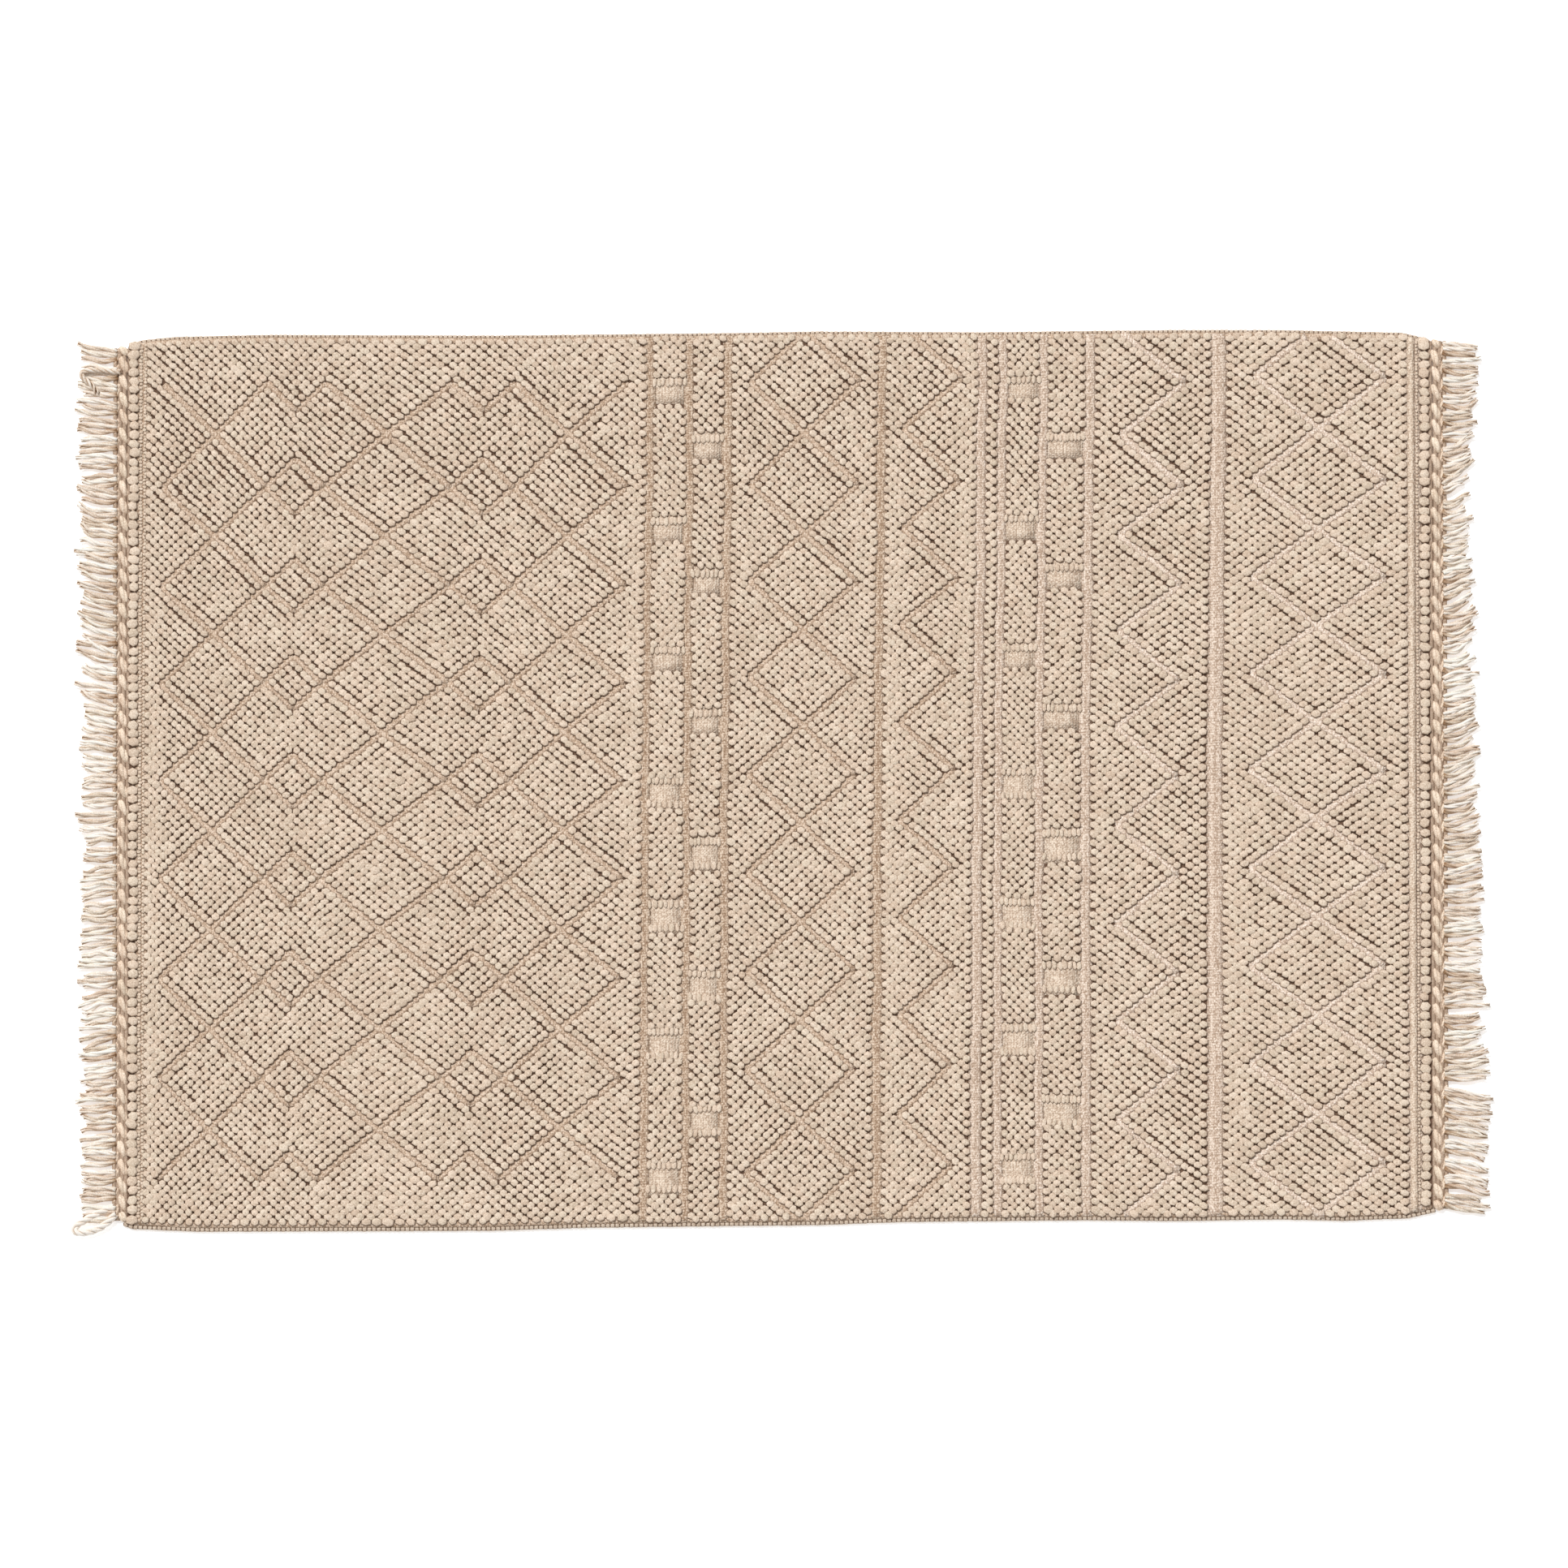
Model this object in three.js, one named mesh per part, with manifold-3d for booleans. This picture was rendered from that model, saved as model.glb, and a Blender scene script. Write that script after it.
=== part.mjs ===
// Outdoor rug: a flat handwoven cloth whose looped ground is parted by flat-woven
// grooves into lozenges, zigzags and bars, with an overcast cord along each long
// side and a twined heading with a yarn fringe across each end.
// Millimetres. X runs along the rug, Y across it, Z up from the floor it lies on.

import * as THREE from 'three';
import Module from 'manifold-3d';

const wasm = await Module();
wasm.setup();

// Cloth
const CLOTH_HALF_LENGTH = 1129.7;
const LOOP_TOP = 13;
const FLAT_TOP = 6.5;
const CLOTH_CHAMFER = 3;
const PIECE_GAP = 0.3;

// Overcast cords of the long sides
const CORD_WIDTH = 7.7;
const CORD_HEIGHT = 9;
const CORD_CORNER = 2.4;

// Twined headings
const HEADING_INNER = 1130;
const HEADING_OUTER = 1150;
const HEADING_HEIGHT = 8;
const HEADING_CORNER = 2;
const LINK_PITCH = 18;
const LINK_LENGTH = 15;
const LINK_WIDTH = 8;
const LINK_SLANT = 4;
const LINK_TAPER = 0.6;
const LINK_TOP = 12.5;
const LINK_SEAT = 7;

// Fringe
const STRAND_COUNT = 146;
const STRAND_ROOT = 3;
const STRAND_LENGTH = 70;
const STRAND_SHORTEST = 0.8;
const STRAND_WIDTH = 6;
const STRAND_TIP_WIDTH = 4;
const STRAND_HEIGHT = 5.5;
const STRAND_TIP_HEIGHT = 3.5;
const STRAND_CLUMP = 4;
const STRAND_GATHER = 0.24;
const STRAND_BEND = 0.55;
const STRAND_SWAY = 2.2;

// Grooves of the relief
const GROOVE_FLOOR_WIDTH = 9;
const GROOVE_TOP_WIDTH = 13;
const GROOVE_RISE = 1;
const BAR_HEIGHT = 27;
const PATTERN_LEAN = 0.006;
const PATTERN_PITCH = 177.3;
const LATTICE_TOP = 709;
const LATTICE_ROWS = 8;
const SMALL_LOZENGE_RISE = 45;
const PAST_EDGE = 830;

// Long sides of the rug as it lies, outer face of the cords
const BACK_EDGE = [
  { x: -1150, y: 776 },
  { x: -1112, y: 790 },
  { x: -1055, y: 796 },
  { x: -887, y: 800 },
  { x: -493, y: 798.5 },
  { x: -99, y: 803 },
  { x: 70, y: 806 },
  { x: 351, y: 804.5 },
  { x: 688, y: 808.7 },
  { x: 857, y: 808.7 },
  { x: 1082, y: 804 },
  { x: 1150, y: 789 },
];
const FRONT_EDGE = [
  { x: -1150, y: -790 },
  { x: -1112, y: -804 },
  { x: -999, y: -808.7 },
  { x: -493, y: -807 },
  { x: -324, y: -801.5 },
  { x: 70, y: -797 },
  { x: 210, y: -791.5 },
  { x: 520, y: -788.5 },
  { x: 688, y: -790 },
  { x: 857, y: -787 },
  { x: 969, y: -789.5 },
  { x: 1082, y: -785 },
  { x: 1150, y: -769 },
];

// Flat-woven columns between the bands
const FLAT_COLUMNS = [
  { x: -1103, width: 11 },
  { x: -230, width: 11 },
  { x: -157, width: 10 },
  { x: -92, width: 11 },
  { x: 174, width: 13 },
  { x: 353, width: 12 },
  { x: 390, width: 12 },
  { x: 461, width: 12 },
  { x: 541, width: 13 },
  { x: 757, width: 13 },
  { x: 1096, width: 12 },
];

// Chains of large lozenges in the wide field, and the small ones that join them
const LATTICE_CHAINS = [
  { left: -1070, right: -895 },
  { left: -794, right: -574 },
  { left: -469, right: -272 },
];
const LATTICE_JOINS = [
  { left: -895, right: -794 },
  { left: -574, right: -469 },
];

// Bands that run out over both long sides; top is the height of the first corner
const LOZENGE_BANDS = [
  { left: -53.5, right: 133.5, top: 721 },
  { left: 820, right: 1048, top: 724 },
];
const ZIGZAG_BANDS = [
  { left: 213, right: 309, top: 722 },
  { left: 595, right: 699, top: 718 },
];

// Flat bars across the narrow strips
const BAR_STRIPS = [
  { left: -230, right: -157, top: 692, pitch: 233.5, count: 7 },
  { left: -157, right: -92, top: 591, pitch: 239, count: 6 },
  { left: 390, right: 461, top: 692, pitch: 233, count: 7 },
  { left: 461, right: 541, top: 591, pitch: 238, count: 6 },
];

const COLOURS = {
  cloth: 0xcdb8a2,
  cord: 0xc8b29c,
  fringe: 0xe9dfd0,
};

// Height of an edge table at a place along the rug
function edgeAt(table, x) {
  const after = Math.max(1, table.findIndex((station) => station.x >= x));
  const [a, b] = [table[after - 1], table[after]];
  return THREE.MathUtils.mapLinear(x, a.x, b.x, a.y, b.y);
}

// Places along the rug where its long sides turn, with the ends of the cloth
function stationsAlong(ends) {
  const reach = Math.min(...ends.map(Math.abs));
  return [...BACK_EDGE, ...FRONT_EDGE]
    .map((station) => station.x)
    .filter((x) => Math.abs(x) < reach)
    .concat(ends)
    .sort((a, b) => a - b)
    .filter((x, i, all) => i === 0 || x > all[i - 1]);
}

// The woven pattern leans a little, most in the middle of the rug
function lean(x, y) {
  const fade = 1 - (x / HEADING_OUTER) ** 2;
  return new THREE.Vector2(x + PATTERN_LEAN * y * fade, y);
}

// Steady small variation between -1 and 1
function vary(seed) {
  return Math.sin(seed * 12.9898 + 4.1) * Math.cos(seed * 4.253);
}

function signedVolume(corners, faces) {
  const [a, b, c] = [new THREE.Vector3(), new THREE.Vector3(), new THREE.Vector3()];
  let total = 0;
  for (let i = 0; i < faces.length; i += 3) {
    a.copy(corners[faces[i]]);
    b.copy(corners[faces[i + 1]]);
    c.copy(corners[faces[i + 2]]);
    total += a.dot(b.cross(c)) / 6;
  }
  return total;
}

// Solid skinned over rings of equal corner count, capped at its ends unless closed
function skin(rings, closed = false) {
  const corners = rings.flat();
  const count = rings[0].length;
  const runs = closed ? rings.length : rings.length - 1;
  const faces = [];
  for (let ring = 0; ring < runs; ring += 1) {
    const here = ring * count;
    const there = ((ring + 1) % rings.length) * count;
    for (let i = 0; i < count; i += 1) {
      const j = (i + 1) % count;
      faces.push(here + i, here + j, there + j);
      faces.push(here + i, there + j, there + i);
    }
  }
  if (!closed) {
    const last = (rings.length - 1) * count;
    for (let i = 1; i < count - 1; i += 1) {
      faces.push(0, i + 1, i);
      faces.push(last, last + i, last + i + 1);
    }
  }
  if (signedVolume(corners, faces) < 0) {
    faces.reverse();
  }
  return new wasm.Manifold(new wasm.Mesh({
    numProp: 3,
    vertProperties: new Float32Array(corners.flatMap((p) => [p.x, p.y, p.z])),
    triVerts: new Uint32Array(faces),
  }));
}

function joined(solids) {
  return solids.reduce((all, solid) => all.add(solid));
}

function node(name, solid, colour) {
  const mesh = solid.getMesh();
  const geometry = new THREE.BufferGeometry();
  geometry.setAttribute('position', new THREE.BufferAttribute(new Float32Array(mesh.vertProperties), 3));
  geometry.setIndex(new THREE.BufferAttribute(new Uint32Array(mesh.triVerts), 1));
  geometry.computeVertexNormals();
  const material = new THREE.MeshStandardMaterial({ color: colour, roughness: 0.95, flatShading: true });
  material.name = name;
  const part = new THREE.Mesh(geometry, material);
  part.name = name;
  return part;
}

// Unit direction across a path at one of its points, lengthened at a corner to keep the width
function across(points, i, closed) {
  const wrap = (k) => (k + points.length) % points.length;
  const before = closed || i > 0 ? points[wrap(i - 1)] : null;
  const after = closed || i < points.length - 1 ? points[wrap(i + 1)] : null;
  const into = before ? points[i].clone().sub(before).normalize() : null;
  const out = after ? after.clone().sub(points[i]).normalize() : null;
  const side = new THREE.Vector2();
  [into, out].filter(Boolean).forEach((step) => side.add(new THREE.Vector2(-step.y, step.x)));
  side.normalize();
  const step = into ?? out;
  const square = side.dot(new THREE.Vector2(-step.y, step.x));
  return side.divideScalar(square);
}

// Groove along a path: a flat floor between two sloping sides
function groove(path, floorWidth, topWidth, closed = false) {
  const points = path.map(([x, y]) => lean(x, y));
  const slope = (topWidth - floorWidth) / 2 / (LOOP_TOP - FLAT_TOP);
  const mouth = floorWidth / 2 + slope * (LOOP_TOP + GROOVE_RISE - FLAT_TOP);
  const section = [
    { offset: -mouth, z: LOOP_TOP + GROOVE_RISE },
    { offset: mouth, z: LOOP_TOP + GROOVE_RISE },
    { offset: floorWidth / 2, z: FLAT_TOP },
    { offset: -floorWidth / 2, z: FLAT_TOP },
  ];
  const rings = points.map((point, i) => {
    const side = across(points, i, closed);
    return section.map(({ offset, z }) => new THREE.Vector3(
      point.x + side.x * offset,
      point.y + side.y * offset,
      z,
    ));
  });
  return skin(rings, closed);
}

// Path that swings from one side to the other and back while it goes down the rug
function zigzag(first, second, top, step, swings) {
  const path = [];
  for (let i = 0; i <= swings; i += 1) {
    path.push([i % 2 ? second : first, top - i * step]);
  }
  return path;
}

function line(path) {
  return groove(path, GROOVE_FLOOR_WIDTH, GROOVE_TOP_WIDTH);
}

function columnGrooves() {
  return FLAT_COLUMNS.map(({ x, width }) => {
    const path = [[x, PAST_EDGE], [x, 0], [x, -PAST_EDGE]];
    return groove(path, width, width + GROOVE_TOP_WIDTH - GROOVE_FLOOR_WIDTH);
  });
}

function chainGrooves(left, right, top, rows) {
  return [
    line(zigzag(left, right, top, PATTERN_PITCH, rows)),
    line(zigzag(right, left, top, PATTERN_PITCH, rows)),
  ];
}

function joinGrooves({ left, right }) {
  const middle = (left + right) / 2;
  const grooves = [];
  for (let row = 0; row <= LATTICE_ROWS; row += 1) {
    const y = LATTICE_TOP - row * PATTERN_PITCH;
    if (row > 0) {
      grooves.push(line([[left, y], [middle, y + SMALL_LOZENGE_RISE], [right, y]]));
    }
    if (row < LATTICE_ROWS) {
      grooves.push(line([[left, y], [middle, y - SMALL_LOZENGE_RISE], [right, y]]));
    }
  }
  return grooves;
}

function barGrooves({ left, right, top, pitch, count }) {
  const grooves = [];
  for (let i = 0; i < count; i += 1) {
    const y = top - i * pitch;
    grooves.push(groove([[left, y], [right, y]], BAR_HEIGHT, BAR_HEIGHT + 4));
  }
  return grooves;
}

function cloth() {
  const ends = [-CLOTH_HALF_LENGTH, CLOTH_HALF_LENGTH];
  const inner = ends.map((x) => x - Math.sign(x) * CLOTH_CHAMFER);
  const inset = CORD_WIDTH + PIECE_GAP;
  const rings = stationsAlong([...ends, ...inner]).map((x) => {
    const back = edgeAt(BACK_EDGE, x) - inset;
    const front = edgeAt(FRONT_EDGE, x) + inset;
    const shoulder = LOOP_TOP - CLOTH_CHAMFER;
    const top = Math.abs(x) < CLOTH_HALF_LENGTH ? LOOP_TOP : shoulder + 0.01;
    return [
      new THREE.Vector3(x, front, 0),
      new THREE.Vector3(x, back, 0),
      new THREE.Vector3(x, back, shoulder),
      new THREE.Vector3(x, back - CLOTH_CHAMFER, top),
      new THREE.Vector3(x, front + CLOTH_CHAMFER, top),
      new THREE.Vector3(x, front, shoulder),
    ];
  });
  const lozenges = LOZENGE_BANDS.flatMap(({ left, right, top }) => (
    chainGrooves(left, right, top + PATTERN_PITCH, LATTICE_ROWS + 2)
  ));
  const zigzags = ZIGZAG_BANDS.map(({ left, right, top }) => (
    line(zigzag(left, right, top + PATTERN_PITCH / 2, PATTERN_PITCH / 2, 2 * LATTICE_ROWS + 2))
  ));
  const lattice = LATTICE_CHAINS.flatMap(({ left, right }) => (
    chainGrooves(left, right, LATTICE_TOP, LATTICE_ROWS)
  ));
  const grooves = [
    ...columnGrooves(),
    ...lattice,
    ...LATTICE_JOINS.flatMap(joinGrooves),
    ...lozenges,
    ...zigzags,
    ...BAR_STRIPS.flatMap(barGrooves),
  ];
  return skin(rings).subtract(joined(grooves));
}

// Rounded bar section: eight corners, flat on the floor
function rounded(low, high, height, corner) {
  return [
    { offset: low + corner, z: 0 },
    { offset: high - corner, z: 0 },
    { offset: high, z: corner },
    { offset: high, z: height - corner },
    { offset: high - corner, z: height },
    { offset: low + corner, z: height },
    { offset: low, z: height - corner },
    { offset: low, z: corner },
  ];
}

function cord(table, outward) {
  const rings = stationsAlong([-CLOTH_HALF_LENGTH, CLOTH_HALF_LENGTH]).map((x) => {
    const outer = edgeAt(table, x);
    const span = [outer, outer - outward * CORD_WIDTH].sort((a, b) => a - b);
    const section = rounded(span[0], span[1], CORD_HEIGHT, CORD_CORNER);
    return section.map(({ offset, z }) => new THREE.Vector3(x, offset, z));
  });
  return skin(rings);
}

// One slanting link of the twined heading
function link(side, y) {
  const x = side * (HEADING_INNER + HEADING_OUTER) / 2;
  const outline = [
    [-LINK_LENGTH / 2, -LINK_SLANT - LINK_WIDTH / 2],
    [LINK_LENGTH / 2, LINK_SLANT - LINK_WIDTH / 2],
    [LINK_LENGTH / 2, LINK_SLANT + LINK_WIDTH / 2],
    [-LINK_LENGTH / 2, -LINK_SLANT + LINK_WIDTH / 2],
  ];
  const ring = (scale, z) => outline.map(([dx, dy]) => (
    new THREE.Vector3(x + side * dx * scale, y + dy * scale, z)
  ));
  return skin([ring(1, LINK_SEAT), ring(LINK_TAPER, LINK_TOP)]);
}

// One strand lying on the floor, drawn toward the middle of its clump
function strand(side, index, pitch, front) {
  const rootY = front + (index + 0.5) * pitch;
  const clumpMiddle = (Math.floor(index / STRAND_CLUMP) + 0.5) * STRAND_CLUMP;
  const gather = (clumpMiddle - index - 0.5) * pitch * STRAND_GATHER;
  const clumpSway = STRAND_SWAY * vary(Math.floor(index / STRAND_CLUMP) + side);
  const tipY = rootY + gather + clumpSway;
  const short = 1 - STRAND_SHORTEST;
  const reach = index === Math.floor(STRAND_COUNT / 2)
    ? STRAND_LENGTH
    : STRAND_LENGTH * (1 - short * (0.5 + 0.5 * vary(index * 1.7 + side)));
  const stations = [
    { along: -STRAND_ROOT, drift: 0, size: 0 },
    { along: reach * STRAND_BEND, drift: STRAND_BEND ** 2, size: STRAND_BEND },
    { along: reach, drift: 1, size: 1 },
  ];
  const rings = stations.map(({ along, drift, size }) => {
    const x = side * (HEADING_OUTER + along);
    const y = THREE.MathUtils.lerp(rootY, tipY, drift);
    const half = THREE.MathUtils.lerp(STRAND_WIDTH, STRAND_TIP_WIDTH, size) / 2;
    const height = THREE.MathUtils.lerp(STRAND_HEIGHT, STRAND_TIP_HEIGHT, size);
    return [
      new THREE.Vector3(x, y - half, 0),
      new THREE.Vector3(x, y + half, 0),
      new THREE.Vector3(x, y, height),
    ];
  });
  return skin(rings);
}

// Heading strip with its links and its row of strands
function fringe(side) {
  const back = edgeAt(BACK_EDGE, side * HEADING_INNER);
  const front = edgeAt(FRONT_EDGE, side * HEADING_INNER);
  const section = [
    { x: HEADING_INNER, z: 0 },
    { x: HEADING_OUTER, z: 0 },
    { x: HEADING_OUTER, z: HEADING_HEIGHT - HEADING_CORNER },
    { x: HEADING_OUTER - HEADING_CORNER, z: HEADING_HEIGHT },
    { x: HEADING_INNER + HEADING_CORNER, z: HEADING_HEIGHT },
    { x: HEADING_INNER, z: HEADING_HEIGHT - HEADING_CORNER },
  ];
  const strip = skin([front, back].map((y) => (
    section.map(({ x, z }) => new THREE.Vector3(side * x, y, z))
  )));
  const pieces = [strip];
  const links = Math.floor((back - front) / LINK_PITCH);
  const first = (front + back) / 2 - (links - 1) * LINK_PITCH / 2;
  for (let i = 0; i < links; i += 1) {
    pieces.push(link(side, first + i * LINK_PITCH));
  }
  const pitch = (back - front) / STRAND_COUNT;
  for (let i = 0; i < STRAND_COUNT; i += 1) {
    pieces.push(strand(side, i, pitch, front));
  }
  return joined(pieces);
}

const rug = new THREE.Group();
rug.name = 'outdoor_rug';
rug.add(node('rug_body', cloth(), COLOURS.cloth));
rug.add(node('edge_cord_back', cord(BACK_EDGE, 1), COLOURS.cord));
rug.add(node('edge_cord_front', cord(FRONT_EDGE, -1), COLOURS.cord));
rug.add(node('fringe_left', fringe(-1), COLOURS.fringe));
rug.add(node('fringe_right', fringe(1), COLOURS.fringe));

export default rug;
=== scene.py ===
"""Outdoor rug: looped lozenges, zigzags and bars over a flat weave, with overcast
long sides and a twined heading and plied fringe at each end. Metres, in the CAD frame."""

import math

import bpy
import numpy as np
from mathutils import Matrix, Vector


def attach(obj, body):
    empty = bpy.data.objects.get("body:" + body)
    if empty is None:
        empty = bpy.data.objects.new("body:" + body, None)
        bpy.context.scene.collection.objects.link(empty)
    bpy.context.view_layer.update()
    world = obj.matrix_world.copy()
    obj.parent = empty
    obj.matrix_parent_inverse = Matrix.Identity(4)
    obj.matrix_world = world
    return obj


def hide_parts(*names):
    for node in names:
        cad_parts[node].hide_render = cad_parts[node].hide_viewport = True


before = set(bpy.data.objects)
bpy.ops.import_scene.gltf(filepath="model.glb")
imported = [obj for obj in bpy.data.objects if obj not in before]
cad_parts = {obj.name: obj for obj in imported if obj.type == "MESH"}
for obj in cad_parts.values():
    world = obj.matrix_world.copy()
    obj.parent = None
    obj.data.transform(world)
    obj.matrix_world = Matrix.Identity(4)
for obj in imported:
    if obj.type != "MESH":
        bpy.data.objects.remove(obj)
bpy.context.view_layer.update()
draw = np.random.default_rng(23)

MM = 0.001

# Camera and the picture it stands for
PICTURE_PIXELS = 1932
PIXEL_SIZE = 1.406 * MM
LENS = 400.0
SENSOR = 36.0
CAMERA_ELEVATION = math.radians(75.2)
LOOK_AT = Vector((0.0077, -0.0116, 0.006))

# Cloth
HALF_LENGTH = 1.1297
HALF_WIDTH = 0.800
RUG_END = 1.150
CLOTH_EDGE_INSET = 7.6 * MM
CLOTH_FOOT = 0.4 * MM
FLAT_WEAVE_TOP = 8.0 * MM
LOOP_CROWN = 13.0 * MM
LOOP_SINK = 1.5 * MM
PATTERN_LEAN = 0.006
PATTERN_PITCH = 177.3 * MM
ROWS_IN_PITCH = 22
ROW = PATTERN_PITCH / ROWS_IN_PITCH
HALF_CHAIN = ROWS_IN_PITCH // 2
PITCHES = 8
LAST_ROW = PITCHES * ROWS_IN_PITCH
LEAN_OVER_RISING = 0.5 * MM
LEAN_OVER_FALLING = 1.2 * MM
LATTICE_TOP = PATTERN_PITCH * PITCHES / 2
# Middle columns of the lattice's chains and of the small lozenges between them, in the chart
CHAIN_MIDDLES = (11, 45, 79)
SMALL_LOZENGE_MIDDLES = (28, 62)
SMALL_LOZENGE = 6
CLOTH_EDGE = HALF_WIDTH - CLOTH_EDGE_INSET
LAST_LOOP = CLOTH_EDGE - 4.6 * MM
PAST_LAST_LOOP = 0.45 * ROW

# Long sides as the rug lies: along, across
BACK_EDGE = np.array([
    (-1150, 776), (-1112, 790), (-1055, 796), (-887, 800), (-493, 798.5), (-99, 803),
    (70, 806), (351, 804.5), (688, 808.7), (857, 808.7), (1082, 804), (1150, 789),
]) * MM
FRONT_EDGE = np.array([
    (-1150, -790), (-1112, -804), (-999, -808.7), (-493, -807), (-324, -801.5),
    (70, -797), (210, -791.5), (520, -788.5), (688, -790), (857, -787), (969, -789.5),
    (1082, -785), (1150, -769),
]) * MM

# How the columns of the weave sway, in mm: along, then the shift at the back, middle and front
COLUMN_SWAY = np.array([
    (-1120, -6, 0, 6), (-1104, -4, 0, 5), (-1070, -4, -5, 0), (-983, 0, 0, 0), (-895, 0, 1, 1),
    (-795, 0, 0, 0), (-690, 1, -1, -3), (-575, 1, -4, -11), (-469, 6, 1, -11), (-378, 4, -1, -2),
    (-272, 4, 2, -3), (-233, 1, -3, 0), (-160, -4, -4, -2), (-90, -1, -4, -1), (40, -1, -1, -1),
    (132, 3, -3, -3), (182, 1, -3, -2), (215, 0, -8, -5), (309, 4, -7, -10), (360, -4, -9, -10),
    (395, -4, -12, -11),
    (592, -4, -13, -10), (698, 6, -10, -8), (755, 6, -2, -2), (822, 5, -6, -8), (933, 4, -7, -5),
    (1046, 6, -1, -7), (1096, 3, 0, -3), (1120, 5, 0, -5),
]) * MM
# How its rows drift, in mm: across, then the shift left and right of the strips
ROW_DRIFT = np.array([
    (-710, -5, 1), (-530, -5.5, 7), (-350, -8, 5.5), (-175, -8.4, 4), (0, -10, 3),
    (175, -11.3, -1), (355, -14, -6), (530, -13, -10), (620, -5, -6), (720, 0, -2),
]) * MM
# Bands that start left of this lie left of the strips, in mm
STRIPS_START = -500
SWAY_SPAN = 0.72
# Waves of the hand's unevenness: each one's height, its radians a metre across and along, its start
WAVES_ALONG = ((0.9 * MM, 17, 5, 0), (0.9 * MM, 39, 11, 2))
WAVES_ACROSS = ((0.9 * MM, 4, 21, 1), (0.9 * MM, -9, 47, 0))
LEAN_WAVES = ((0.03, 13, 31, 0), (0.02, -27, 9, 0))


def clear_selection():
    bpy.ops.object.select_all(action="DESELECT")


def edge_at(table, along):
    return np.interp(along, table[:, 0], table[:, 1])


def waves(along, across, table):
    return sum(height * np.sin(across * turn_across + along * turn_along + start)
               for height, turn_across, turn_along, start in table)


def settle(along, across):
    """Where a point of the loom's plan lies on the floor: lean, sway, uneven sides and waves."""
    share = across / HALF_WIDTH
    outer = np.where(across > 0, edge_at(BACK_EDGE, along) - HALF_WIDTH,
                     edge_at(FRONT_EDGE, along) + HALF_WIDTH)
    fade = 1 - (along / RUG_END) ** 2
    middle = np.clip(1 - share ** 4, 0, 1)
    back, mid, front = [np.interp(along, COLUMN_SWAY[:, 0], COLUMN_SWAY[:, k]) for k in (1, 2, 3)]
    reach = np.clip(across / SWAY_SPAN, -1, 1)
    sway = mid + np.where(reach > 0, (back - mid) * reach, (mid - front) * reach)
    x = along + sway + fade * (PATTERN_LEAN * across + waves(along, across, WAVES_ALONG))
    y = across + outer * share ** 2 + middle * waves(along, across, WAVES_ACROSS)
    return x, y


def drift_rows(across, places):
    """Rows moved as the weave drifts, by one table left of the strips and another from there on."""
    side = 1 if places[0][1] < STRIPS_START else 2
    return across + np.interp(across, ROW_DRIFT[:, 0], ROW_DRIFT[:, side])


# Making of many small pieces
def woven_piece(name, points, faces, yarn):
    """One mesh from arrays, with the yarn's tone, warmth and painted light level kept at its points."""
    mesh = bpy.data.meshes.new(name)
    mesh.from_pydata(points, [], faces)
    mesh.attributes.new("yarn", "FLOAT_COLOR", "POINT").data.foreach_set("color", yarn.ravel())
    mesh.polygons.foreach_set("use_smooth", np.ones(len(faces), dtype=bool))
    mesh.update()
    piece = bpy.data.objects.new(name, mesh)
    bpy.context.collection.objects.link(piece)
    return piece


CROWN_WEIGHT = 55


def flatten_crowns(piece):
    """Shade the broad top of each loop as flat, and turn only at its edge."""
    clear_selection()
    piece.select_set(True)
    bpy.context.view_layer.objects.active = piece
    bpy.ops.object.modifier_add(type="WEIGHTED_NORMAL")
    piece.modifiers[0].weight = CROWN_WEIGHT
    bpy.ops.object.modifier_apply(modifier=piece.modifiers[0].name)
    return piece


def take_shape(piece):
    """Points and triangles of a given shape, which is then put away."""
    points = np.array([v.co for v in piece.data.vertices])
    faces = np.array([p.vertices for p in piece.data.polygons])
    bpy.data.objects.remove(piece, do_unlink=True)
    return points, faces


# The loop's shape: its faces round and up a whole ball, how steep its sides are, how flat its top
LOOP_SIDES = 6
LOOP_RINGS = 6
LOOP_STEEPNESS = 0.5
LOOP_FLATNESS = 1.6
# How much loops differ in size, and their corners in place
SIZE_VARIES = 0.045
CORNERS_VARY = 0.05


def make_loop_shape():
    """A plump loop of yarn, one unit across each way and one high: steep sides, flattish top."""
    clear_selection()
    bpy.ops.mesh.primitive_uv_sphere_add(segments=LOOP_SIDES, ring_count=LOOP_RINGS, radius=1)
    loop = bpy.context.object
    bpy.ops.object.mode_set(mode="EDIT")
    bpy.ops.mesh.select_all(action="SELECT")
    bpy.ops.mesh.bisect(plane_co=(0, 0, 0), plane_no=(0, 0, 1), clear_inner=True, use_fill=True)
    bpy.ops.mesh.select_all(action="SELECT")
    bpy.ops.mesh.quads_convert_to_tris()
    bpy.ops.object.mode_set(mode="OBJECT")
    points, faces = take_shape(loop)
    reach = np.linalg.norm(points[:, :2], axis=1, keepdims=True)
    points[:, :2] *= np.maximum(reach, 0.01) ** -LOOP_STEEPNESS
    points[:, 2] = 1 - (1 - points[:, 2]) ** LOOP_FLATNESS
    return points, faces


LOOP_POINTS, LOOP_FACES = make_loop_shape()


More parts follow.
